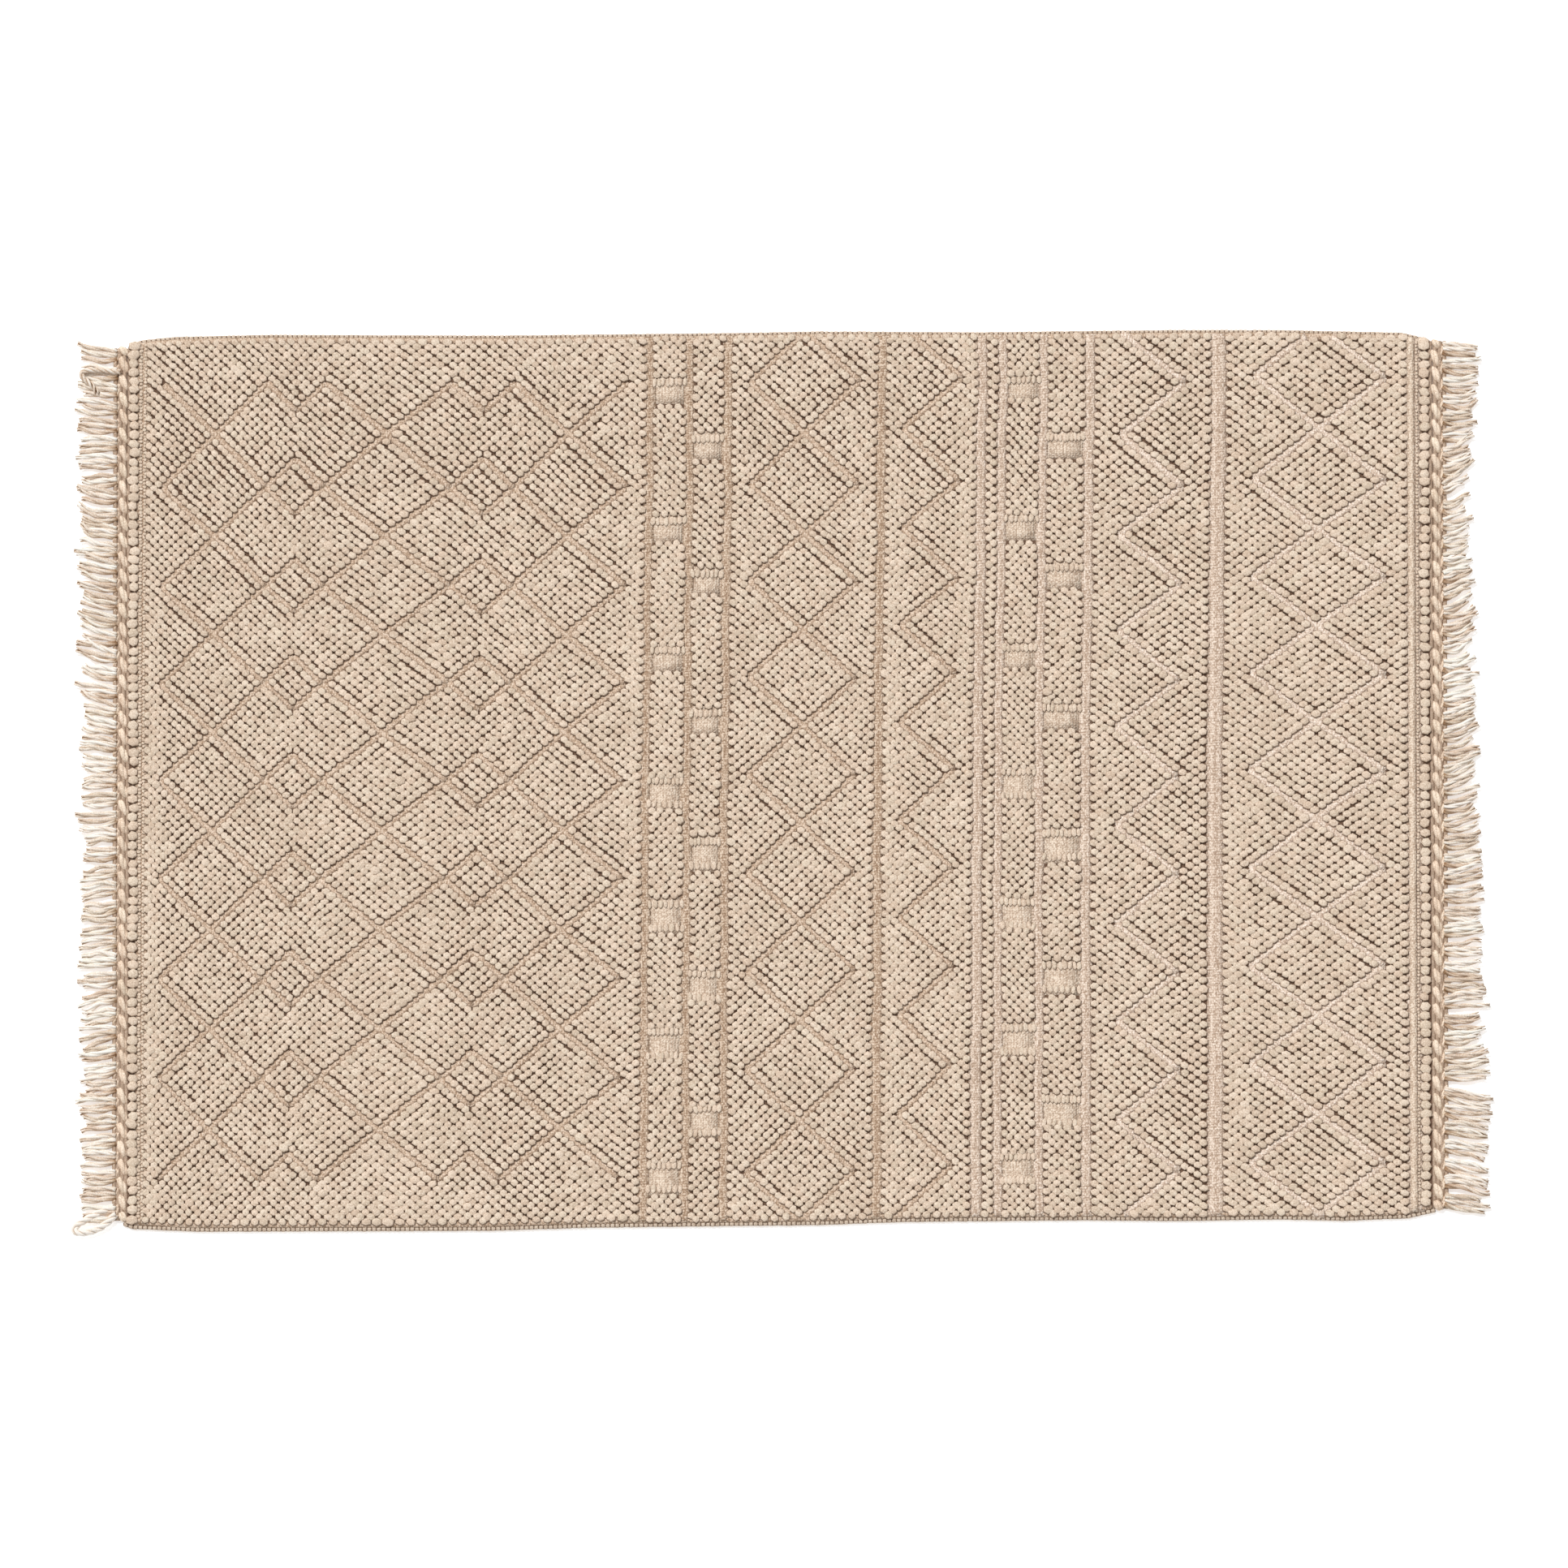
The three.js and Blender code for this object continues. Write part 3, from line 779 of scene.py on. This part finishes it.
def overcast_cord(name, table, outward):
    """A cord along one long side, with a bulge for each stitch that is wrapped round it and painted
    shade between them.
    """
    wraps = int(2 * HALF_LENGTH / WRAP_PITCH)
    rings = wraps * WRAP_RINGS + 1
    share = np.linspace(0, 1, rings)
    along = (share * 2 - 1) * (HALF_LENGTH - 1 * MM)
    across = edge_at(table, along) - outward * CORD_RADIUS
    phase = share * wraps
    each = draw.normal(0, WRAPS_VARY, wraps + 1)
    bulge = np.sqrt(np.abs(np.sin(np.pi * phase)))
    radius = CORD_RADIUS * (WRAP_WAIST + (1 - WRAP_WAIST) * bulge + each[phase.astype(int)])
    path = np.stack([along, across, np.full(rings, CORD_RADIUS * 1.02)], axis=1)
    points, faces = tube(path, radius, CORD_SIDES)
    tone = np.repeat(draw.random(wraps + 1)[phase.astype(int)], CORD_SIDES)
    # Painted shade in the creases between the wraps: the painted light level follows each wrap's bulge.
    painted_light = np.repeat(0.12 + 0.75 * bulge, CORD_SIDES)
    yarn = yarn_values(len(points), 0.5, 0.5, 0.2)
    yarn[:-2, 0], yarn[:-2, 2] = tone, painted_light
    return woven_piece(name, points, faces, yarn)


cord_back = overcast_cord("overcast_cord_back", BACK_EDGE, 1)
cord_front = overcast_cord("overcast_cord_front", FRONT_EDGE, -1)


# Twined heading: at each end a row of fat links and a row of slender ones, leaning opposite ways
BUNDLES = 49
# Each row's place along the rug in mm, lean, reach as a share of the pitch, and ply radius,
# ply core and height in mm
LINK_ROWS = (
    (1145.4, 4.6, 0.52, 2.9, 1.7, 6.4),
    (1133.6, -6.0, 0.47, 4.7, 2.7, 7.4),
)
LINK_RINGS = 9
LINK_TWIST = 70 * MM
LINK_BOW = 2.6 * MM
LINK_STRAYS_ACROSS = 0.8 * MM
LINK_STRAYS_ALONG = 0.5 * MM
# Dark tubes under the links that stand for the shade in the gaps between them: place along the rug and
# radius, in mm, and share of the end's slant
SHADE_TUBES = ((1148, 3.8, 1.0), (1141, 4.4, 0.9), (1134, 4.4, 0.8), (1127, 4.4, 0.6))
SHADE_TUBE_LIGHT = 0.42
SHADE_TUBE_RINGS = 60
SHADE_TUBE_SIDES = 6
# How far out the heading stands at the front and back corner of each end, in mm
END_SLANT = {-1: (-2.8, 10), 1: (0, 11)}


def end_span(side):
    """Where the long sides' outlines meet one end of the rug."""
    return edge_at(FRONT_EDGE, side * RUG_END), edge_at(BACK_EDGE, side * RUG_END)


def end_shift(side, across):
    """How far out one end stands at a place across the rug."""
    return np.interp(across, end_span(side), END_SLANT[side]) * MM


def twined_heading(name, side):
    """Two rows of plied links over dark tubes that paint shade into the gaps between them."""
    low, high = end_span(side)
    pitch = (high - low) / BUNDLES
    parts = []
    share = np.linspace(-1, 1, LINK_RINGS)
    swell = np.maximum(1 - share ** 2, 0.03) ** 0.4
    for row, (centre, lean, reach, radius, core, height) in enumerate(LINK_ROWS):
        for i in range(BUNDLES + row):
            middle = low + (i + 0.5 - 0.5 * row) * pitch + draw.normal(0, LINK_STRAYS_ACROSS)
            first, last = np.clip((middle - reach * pitch, middle + reach * pitch), low, high)
            size = draw.uniform(0.92, 1.06)
            y = (first + last) / 2 + share * (last - first) / 2
            x = side * (centre * MM + end_shift(side, y)) + lean * MM * share * draw.uniform(0.8, 1.2)
            x = x + draw.normal(0, LINK_STRAYS_ALONG)
            path = np.stack([x, y, height * MM - LINK_BOW * share ** 2], axis=1)
            thick = MM * swell * size
            parts.extend(plied(path, radius * thick, core * thick, LINK_TWIST))
    # Painted shade: tubes dark in tone and in painted light level, placed where the gaps between the
    # links lie in shade.
    for centre, radius, slant in SHADE_TUBES:
        y = np.linspace(low + 2 * MM, high - 2 * MM, SHADE_TUBE_RINGS)
        x = side * (centre * MM + slant * end_shift(side, y))
        path = np.stack([x, y, np.full(SHADE_TUBE_RINGS, radius * MM + ABOVE_FLOOR)], axis=1)
        points, faces = tube(path, np.full(SHADE_TUBE_RINGS, radius * MM), SHADE_TUBE_SIDES)
        parts.append((points, faces, yarn_values(len(points), 0.2, 0.5, SHADE_TUBE_LIGHT)))
    return join_parts(name, parts)


# Fringe: across the rug, how far the tips sway towards the back, and where they end, in mm
LEFT_FRINGE = np.array([
    (-800, -4, 1201), (-600, -8, 1200), (-420, -9, 1204), (-280, -8, 1209), (-150, -3, 1207),
    (-20, -4, 1212), (60, 8, 1210), (200, 14, 1210), (400, 12, 1215), (600, 5, 1219),
    (780, 2, 1219),
]) * MM
RIGHT_FRINGE = np.array([
    (-780, -10, 1216), (-700, -16, 1219), (-640, -14, 1221), (-560, -6, 1225), (-500, 2, 1219),
    (-430, 8, 1213), (-330, 4, 1215), (-250, 8, 1214), (-150, 14, 1211), (-60, 18, 1205),
    (60, 22, 1206), (200, 20, 1204), (340, 22, 1204), (400, 14, 1201), (500, 16, 1193),
    (545, 24, 1199), (585, 20, 1204), (640, 8, 1209), (690, 3, 1215), (780, 0, 1218),
]) * MM
# Where the fringe parts: across the rug, width of the gap at the tips, in mm
LEFT_PARTINGS = ((745, 14), (668, 10), (640, 8), (570, 9), (250, 6), (168, 8), (-60, 10), (-330, 7),
                 (-590, 9))
RIGHT_PARTINGS = ((588, 20), (499, 22), (-290, 10), (-335, 12), (-560, 16), (-732, 16))
YARN_RINGS = 13
YARN_SIDES = 5
YARNS_IN_BUNDLE = 3
YARN_SPACING = 10.3 * MM
STEP_UP = 1.5 * MM
# How close the yarns of a bundle lie at its root, and the share of their length where they spread
ROOT_GATHER = 0.60
GATHERED = 0.35
# How far a parting pushes its neighbours, and how much bundles, tips and yarns stray
PARTING_REACH = 26 * MM
BUNDLE_STRAYS = 4.0 * MM
TIP_STRAYS = 4.6 * MM
YARN_BENDS = 2.6 * MM
YARN_WANDERS = 2.2 * MM
# How high a yarn starts over its place, and how high it may arch
ROOT_LIFT = 2.4 * MM
ARCH = 3.0 * MM
PLY_RADIUS = 2.95 * MM
PLY_CORE = 2.1 * MM
PLY_TWIST = 84 * MM


def fringe_yarns(side, table, partings):
    """The plied yarns of one end, in bundles that gather at the heading and part towards the tips."""
    low, high = end_span(side)
    pitch = (high - low) / BUNDLES
    parts = []
    share = np.linspace(0, 1, YARN_RINGS)
    gather = ROOT_GATHER + (1 - ROOT_GATHER) * np.clip(share / GATHERED, 0, 1) ** 0.7
    for bundle in range(BUNDLES):
        root = low + (bundle + 0.5) * pitch
        bundle_sway = np.interp(root, table[:, 0], table[:, 1]) + draw.normal(0, BUNDLE_STRAYS)
        end = np.interp(root, table[:, 0], table[:, 2])
        dip = draw.normal(1.2, 2.2) * MM
        spread = draw.uniform(0.75, 1.15)
        for i in range(YARNS_IN_BUNDLE):
            order = i - (YARNS_IN_BUNDLE - 1) / 2
            tip = end + draw.normal(0, TIP_STRAYS)
            y = root + order * YARN_SPACING * gather * (1 + (spread - 1) * share)
            y = y + bundle_sway * share ** 1.4 - dip * np.sin(math.pi * share)
            y = y + draw.normal(0, YARN_BENDS) * share * share
            wander = draw.normal(0, YARN_WANDERS)
            y = y + wander * share * np.sin(2 * math.pi * (share * 1.2 + draw.random()))
            for where, gap in partings:
                away = root - where * MM
                push = math.copysign(gap * MM / 2, away) * math.exp(-abs(away) / PARTING_REACH)
                y = y + push * np.sqrt(share)
            start = RUG_END - 5 * MM + end_shift(side, root)
            x = side * (start + share * (tip - start))
            lift = ROOT_LIFT * np.exp(-share * 5) + draw.uniform(0, ARCH) * np.sin(math.pi * share)
            z = PLY_RADIUS + PLY_CORE + 0.3 * MM + lift + (1 + order) * STEP_UP * (1 - 0.5 * share)
            path = np.stack([x, y, z], axis=1)
            thick = draw.uniform(0.86, 1.10)
            twist = PLY_TWIST * draw.uniform(0.85, 1.4)
            # Painted shadow near the root: strong on each bundle's first yarn, light on the others.
            painted_shade_dim = 1 - (0.72 if i == 0 else 0.20) * np.exp(-3.0 * share)
            parts.extend(plied(path, PLY_RADIUS * thick, PLY_CORE * thick, twist, sides=YARN_SIDES,
                               splay=0.6, thin_tip=0.5, underside_shade=0.6, painted_shade_dim=painted_shade_dim))
    return parts


ROUNDING = 6


def smooth_path(stations, count):
    """A rounded path of evenly numbered points through a short table of stations in mm."""
    stations = np.array(stations) * MM
    number = np.arange(len(stations))
    place = np.linspace(0, number[-1], count)
    path = np.stack([np.interp(place, number, values) for values in stations.T], axis=1)
    for _ in range(ROUNDING):
        path[1:-1] = (path[:-2] + 2 * path[1:-1] + path[2:]) / 4
    return path


# The long doubled yarn at the front left corner, and the yarn that curls back near the back left
CORNER_LOOP = ((-1146, -766, 9), (-1158, -769, 9), (-1170, -774, 8), (-1190, -786, 7.5),
               (-1206, -794, 7), (-1214, -801, 7), (-1213, -809, 7), (-1202, -812, 7),
               (-1180, -808, 7), (-1160, -797, 8), (-1150, -786, 8.5), (-1143, -778, 9))
CURLED_YARN = ((-1149, 729, 13), (-1170, 731, 15), (-1195, 733, 16), (-1214, 731, 16),
               (-1219, 724, 16), (-1210, 714, 15), (-1197, 705, 14), (-1187, 690, 12))

headings = [twined_heading("heading_left", -1), twined_heading("heading_right", 1)]
left_yarns = fringe_yarns(-1, LEFT_FRINGE, LEFT_PARTINGS)
left_yarns.extend(plied(smooth_path(CORNER_LOOP, 44), ply_radius=3.5 * MM, core=3.2 * MM,
                        twist=46 * MM, sides=7))
# The curled yarn carries painted shade all along it.
left_yarns.extend(plied(smooth_path(CURLED_YARN, 30), ply_radius=2.7 * MM, core=2.4 * MM,
                        twist=36 * MM, splay=0.6, thin_tip=0.4, painted_shade_dim=0.8))
right_yarns = fringe_yarns(1, RIGHT_FRINGE, RIGHT_PARTINGS)
fringes = [join_parts("fringe_yarns_left", left_yarns), join_parts("fringe_yarns_right", right_yarns)]


# Finishes
class Wire:
    """A node output that takes part in Python sums; each sum adds its Math node."""

    def __init__(self, finish, socket):
        self.finish = finish
        self.socket = socket

    def maths(self, operation, *values):
        inputs = dict(enumerate((self, *values)))
        return self.finish.add("ShaderNodeMath", {"operation": operation}, inputs)

    def __add__(self, other):
        return self.maths("ADD", other)

    __radd__ = __add__

    def __mul__(self, other):
        return self.maths("MULTIPLY", other)

    __rmul__ = __mul__

    def __sub__(self, other):
        return self.maths("SUBTRACT", other)

    def __rsub__(self, other):
        return (self * -1) + other

    def sine(self):
        return self.maths("SINE")

    def cosine(self):
        return self.maths("COSINE")

    def above(self, level):
        return self.maths("GREATER_THAN", level)


# Scales of the fibres, grains and patches of the yarn, and how deep the finishes look
FIBRE_SCALE = 430.0
CLOTH_FIBRE_SCALE = 420.0
GRAIN_SCALE = 900.0
PATCH_SCALE = 9.0
FIBRE_DEPTH = 0.7 * MM
LINE_DEPTH = 2.0 * MM
CLOTH_DEPTH = 1.8 * MM
# The flat weave's nubs: their spacing, how they are squeezed each way and how uneven they lie
NUB = 3.4 * MM
NUB_SQUEEZE = (1.12, 0.84, 0)
NUB_DISORDER = 0.62


class Finish:
    """One material, built node by node."""

    def __init__(self, name):
        self.material = bpy.data.materials.new(name)
        self.material.use_nodes = True
        self.tree = self.material.node_tree
        self.shader = self.tree.nodes["Principled BSDF"]

    def add(self, kind, settings, inputs, output=0):
        node = self.tree.nodes.new(kind)
        for key, value in settings.items():
            if key == "stops":
                self.set_stops(node.color_ramp, value)
            else:
                setattr(node, key, value)
        for key, value in inputs.items():
            self.plug(node.inputs[key], value)
        return Wire(self, node.outputs[output])

    def set_stops(self, ramp, stops):
        while len(ramp.elements) < len(stops):
            ramp.elements.new(0.5)
        for element, (place, colour) in zip(ramp.elements, stops):
            element.position = place
            element.color = (*colour, 1)

    def plug(self, socket, value):
        if isinstance(value, Wire):
            self.tree.links.new(value.socket, socket)
        else:
            socket.default_value = value

    def object_place(self):
        return self.add("ShaderNodeTexCoord", {}, {}, "Object")

    def height(self, place):
        return self.add("ShaderNodeSeparateXYZ", {}, {0: place}, "Z")

    def yarn(self):
        colour = self.add("ShaderNodeAttribute", {"attribute_name": "yarn"}, {}, "Color")
        return [self.add("ShaderNodeSeparateColor", {}, {0: colour}, part) for part in range(3)]

    def noise(self, place, scale, detail=2.0, roughness=0.5):
        inputs = {"Vector": place, "Scale": scale, "Detail": detail, "Roughness": roughness}
        return self.add("ShaderNodeTexNoise", {}, inputs, "Fac")

    def nubs(self, place):
        """Nubs of the flat weave: how far from the middle of one, and its tone."""
        squeezed = self.add("ShaderNodeMapping", {}, {"Vector": place, "Scale": NUB_SQUEEZE})
        cells = {"Vector": squeezed, "Scale": 1 / NUB, "Randomness": NUB_DISORDER}
        tint = self.add("ShaderNodeTexVoronoi", {}, cells, "Color")
        return (self.add("ShaderNodeTexVoronoi", {}, cells, "Distance"),
                self.add("ShaderNodeSeparateColor", {}, {0: tint}, 0))

    def ramp(self, factor, stops):
        return self.add("ShaderNodeValToRGB", {"stops": stops}, {0: factor}, "Color")

    def mix(self, factor, first, second, blend="MIX"):
        settings = {"data_type": "RGBA", "blend_type": blend}
        return self.add("ShaderNodeMix", settings, {0: factor, 6: first, 7: second}, 2)

    def bump(self, height, distance):
        return self.add("ShaderNodeBump", {}, {"Height": height, "Distance": distance}, "Normal")

    def surface(self, colour, height, depth, rough):
        """Colour, relief and sheen of the material."""
        self.plug(self.shader.inputs["Base Color"], colour)
        self.plug(self.shader.inputs["Normal"], self.bump(height, depth))
        self.plug(self.shader.inputs["Roughness"], rough)
        self.plug(self.shader.inputs["Specular IOR Level"], 0.2)
        return self.material


# Colours of the yarns and of the weave, from the dark of a grain to its light
CLOTH_STOPS = ((0.20, (0.36, 0.225, 0.14)), (0.38, (0.66, 0.51, 0.385)), (0.62, (0.94, 0.80, 0.66)))
LOOP_STOPS = ((0.36, (0.60, 0.465, 0.35)), (0.5, (0.74, 0.597, 0.467)), (0.64, (0.875, 0.735, 0.60)))
FRINGE_STOPS = ((0.3, (0.68, 0.535, 0.415)), (0.5, (0.90, 0.80, 0.69)), (0.7, (1.0, 0.96, 0.90)))
# The left lines' and columns' colours are darker and browner than the bars': partly their own tone,
# partly painted shade of weave that lies low between the loops.
LINE_STOPS = ((0.24, (0.40, 0.27, 0.18)), (0.42, (0.66, 0.495, 0.365)), (0.62, (0.86, 0.695, 0.555)))
COLUMN_STOPS = ((0.24, (0.35, 0.225, 0.145)), (0.42, (0.61, 0.455, 0.33)), (0.62, (0.87, 0.71, 0.565)))
PALE_STOPS = ((0.24, (0.46, 0.325, 0.235)), (0.42, (0.73, 0.575, 0.455)), (0.62, (0.97, 0.825, 0.70)))
PALE_LINE_STOPS = ((0.24, (0.54, 0.395, 0.30)), (0.42, (0.80, 0.645, 0.52)), (0.62, (1.0, 0.87, 0.755)))
BAR_STOPS = ((0.24, (0.52, 0.38, 0.275)), (0.42, (0.76, 0.605, 0.47)), (0.62, (0.93, 0.79, 0.645)))
# Painted shade: how the yarn darkens from its top, which is white, down into the gaps beside it
WHITE = (1, 1, 1)
PAINTED_GROUND_SHADE = (0.17, 0.10, 0.065)
PAINTED_GAP_SHADE = (0.22, 0.135, 0.085)
PAINTED_SOFT_SHADE = (0.44, 0.30, 0.19)
PAINTED_HALF_SHADE = (0.571, 0.524, 0.497)
LOOP_PAINTED_SHADE = ((0.15, PAINTED_GAP_SHADE), (0.66, PAINTED_HALF_SHADE), (0.88, WHITE))
EDGE_PAINTED_SHADE = ((0.15, PAINTED_GAP_SHADE), (0.42, PAINTED_HALF_SHADE), (0.60, WHITE))
FRINGE_PAINTED_SHADE = ((0.22, PAINTED_SOFT_SHADE), (0.48, (0.86, 0.79, 0.72)), (0.68, WHITE))
# The yarn's hue, from a little red through plain to a little green
HUE_STOPS = ((0.0, (1.0, 0.975, 0.96)), (0.5, WHITE), (1.0, (0.985, 1.0, 0.99)))


def finish_yarn(name, stops, painted_shade_stops, tone_share, rough):
    """Melange yarn: each loop has its tone, fine fibres run over it, and painted shade darkens it into
    the gaps.
    """
    finish = Finish(name)
    tone, warmth, painted_light = finish.yarn()
    place = finish.object_place()
    fibre = finish.noise(place, FIBRE_SCALE, 1.5, 0.6)
    patch = finish.noise(place, PATCH_SCALE)
    mixed = tone * tone_share + fibre * (1 - tone_share) + (patch - 0.5) * 0.15
    colour = finish.ramp(mixed, stops)
    colour = finish.mix(1.0, colour, finish.ramp(warmth, HUE_STOPS), "MULTIPLY")
    # Painted shade by the yarn's painted light level: white at the top, dark brown deep in the gaps.
    colour = finish.mix(1.0, colour, finish.ramp(painted_light, painted_shade_stops), "MULTIPLY")
    grain = finish.noise(place, GRAIN_SCALE, roughness=0.6)
    return finish.surface(colour, grain + fibre * 0.6, FIBRE_DEPTH, rough)


def finish_lines(name, lanes, pitch, slant, stops):
    """Nubs and fine grains along a flat line, in lanes side by side that slant a little."""
    finish = Finish(name)
    across, along, _ = finish.yarn()
    place = finish.object_place()
    lane = (across * (2 * math.pi * lanes)).cosine()
    grain = (along * (2 * math.pi / pitch) + across * slant).sine()
    fibre = finish.noise(place, FIBRE_SCALE, roughness=0.6)
    nub, tone = finish.nubs(place)
    # Painted shade: each nub is light in its middle and dark at its edge, and each lane dark at its
    # edges, for the creases between them.
    body = fibre * 0.50 + tone * 0.22 + (1 - nub) * 0.50 - lane * 0.05 + grain * 0.04 - 0.20
    return finish.surface(finish.ramp(body, stops), body, LINE_DEPTH, 0.9)


def finish_flat_weave():
    """Small nubs in upright rows, each with its own tone; the top, under the loops, is painted in dark
    shade.
    """
    finish = Finish("flat_weave")
    place = finish.object_place()
    nub, tone = finish.nubs(place)
    fibre = finish.noise(place, CLOTH_FIBRE_SCALE, 3.0, 0.7)
    # Painted shade: each nub is light in its middle and dark at its edge, for the creases between the
    # nubs.
    colour = finish.ramp(fibre * 0.55 + tone * 0.25 + (1 - nub) * 0.62 - 0.28, CLOTH_STOPS)
    # Painted shade: the cloth's top, seen only in the holes between the loops, is painted dark.
    top = finish.height(place).above(FLAT_WEAVE_TOP - 1 * MM)
    colour = finish.mix(top, colour, (*PAINTED_GROUND_SHADE, 1))
    return finish.surface(colour, (1 - nub) + fibre * 0.3, CLOTH_DEPTH, 0.9)


def toned(stops, times):
    """The same colours, all brighter or darker by as many times."""
    return [(place, [times * part for part in colour]) for place, colour in stops]


loop_finish = finish_yarn("loop_yarn", LOOP_STOPS, LOOP_PAINTED_SHADE, 0.12, 0.85)
edge_finish = finish_yarn("edge_yarn", toned(LOOP_STOPS, 0.88), EDGE_PAINTED_SHADE, 0.12, 0.85)
heading_finish = finish_yarn("heading_yarn", toned(LOOP_STOPS, 1.17), EDGE_PAINTED_SHADE, 0.12, 0.85)
fringe_finish = finish_yarn("fringe_yarn", FRINGE_STOPS, FRINGE_PAINTED_SHADE, 0.35, 0.8)
flat_finish = finish_flat_weave()
# The flat lines' finishes in the order of woven_lines: lanes, length and slant of a grain, colours
line_finishes = [finish_lines("line_weave", 1, 5.2 * MM, 6.0, LINE_STOPS),
                 finish_lines("pale_line_weave", 1, 5.2 * MM, 6.0, PALE_LINE_STOPS),
                 finish_lines("column_weave", 2, 5.0 * MM, 4.0, COLUMN_STOPS),
                 finish_lines("pale_column_weave", 2, 5.0 * MM, 4.0, PALE_STOPS),
                 finish_lines("bar_weave", 11, 5.0 * MM, 60.0, BAR_STOPS),
                 finish_lines("end_line_weave", 1, 5.0 * MM, 6.0, BAR_STOPS)]


def dress(group, material):
    """The finish of some pieces and the body they go with."""
    for piece in group:
        piece.data.materials.clear()
        piece.data.materials.append(material)
        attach(piece, "root")


dress(pieces, loop_finish)
dress([cloth], flat_finish)
for line, material in zip(woven_lines, line_finishes):
    dress([line], material)
dress([cord_back, cord_front], edge_finish)
dress(headings, heading_finish)
dress(fringes, fringe_finish)

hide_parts("rug_body")
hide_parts("edge_cord_back")
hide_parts("edge_cord_front")
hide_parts("fringe_left")
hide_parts("fringe_right")


# Floor, light and camera
FLOOR_SIZE = 90
FLOOR_UNDER = 0.2 * MM
FLOOR_LOOK = {"Base Color": (0.93, 0.93, 0.93, 1), "Emission Color": (1, 1, 1, 1),
              "Emission Strength": 0.45, "Roughness": 0.9, "Specular IOR Level": 0.0}
SKY_STRENGTH = 0.50
SUN_STRENGTH = 2.35
SUN_ANGLE = math.radians(14)
SUN_TOWARD = Vector((0.40, -0.60, -1.0))
SEE_TO = 200


def make_floor():
    """A pale floor under the rug, for the picture alone."""
    clear_selection()
    bpy.ops.mesh.primitive_plane_add(size=FLOOR_SIZE, location=(0, 0, -FLOOR_UNDER))
    floor = bpy.context.object
    floor.name = "floor"
    finish = Finish("pale_floor")
    for name, value in FLOOR_LOOK.items():
        finish.plug(finish.shader.inputs[name], value)
    floor.data.materials.append(finish.material)


def aim(thing, toward):
    thing.rotation_mode = "QUATERNION"
    thing.rotation_quaternion = toward.to_track_quat("-Z", "Y")


def make_light():
    """Even light from all round, and a soft sun from the back left."""
    scene = bpy.context.scene
    scene.view_settings.view_transform = "Standard"
    world = bpy.data.worlds.new("studio")
    world.use_nodes = True
    world.node_tree.nodes["Background"].inputs["Color"].default_value = (1, 1, 1, 1)
    world.node_tree.nodes["Background"].inputs["Strength"].default_value = SKY_STRENGTH
    scene.world = world
    clear_selection()
    bpy.ops.object.light_add(type="SUN")
    key = bpy.context.object
    key.name = "key_light"
    key.data.energy = SUN_STRENGTH
    key.data.angle = SUN_ANGLE
    aim(key, SUN_TOWARD)


def make_camera():
    """The photo's view, from far off with a long lens."""
    back = Vector((0, -math.cos(CAMERA_ELEVATION), math.sin(CAMERA_ELEVATION)))
    distance = PIXEL_SIZE * PICTURE_PIXELS * LENS / SENSOR
    bpy.ops.object.camera_add(location=LOOK_AT + back * distance)
    camera = bpy.context.object
    aim(camera, -back)
    camera.data.lens = LENS
    camera.data.sensor_width = SENSOR
    camera.data.clip_end = SEE_TO
    bpy.context.scene.camera = camera


make_floor()
make_light()
make_camera()
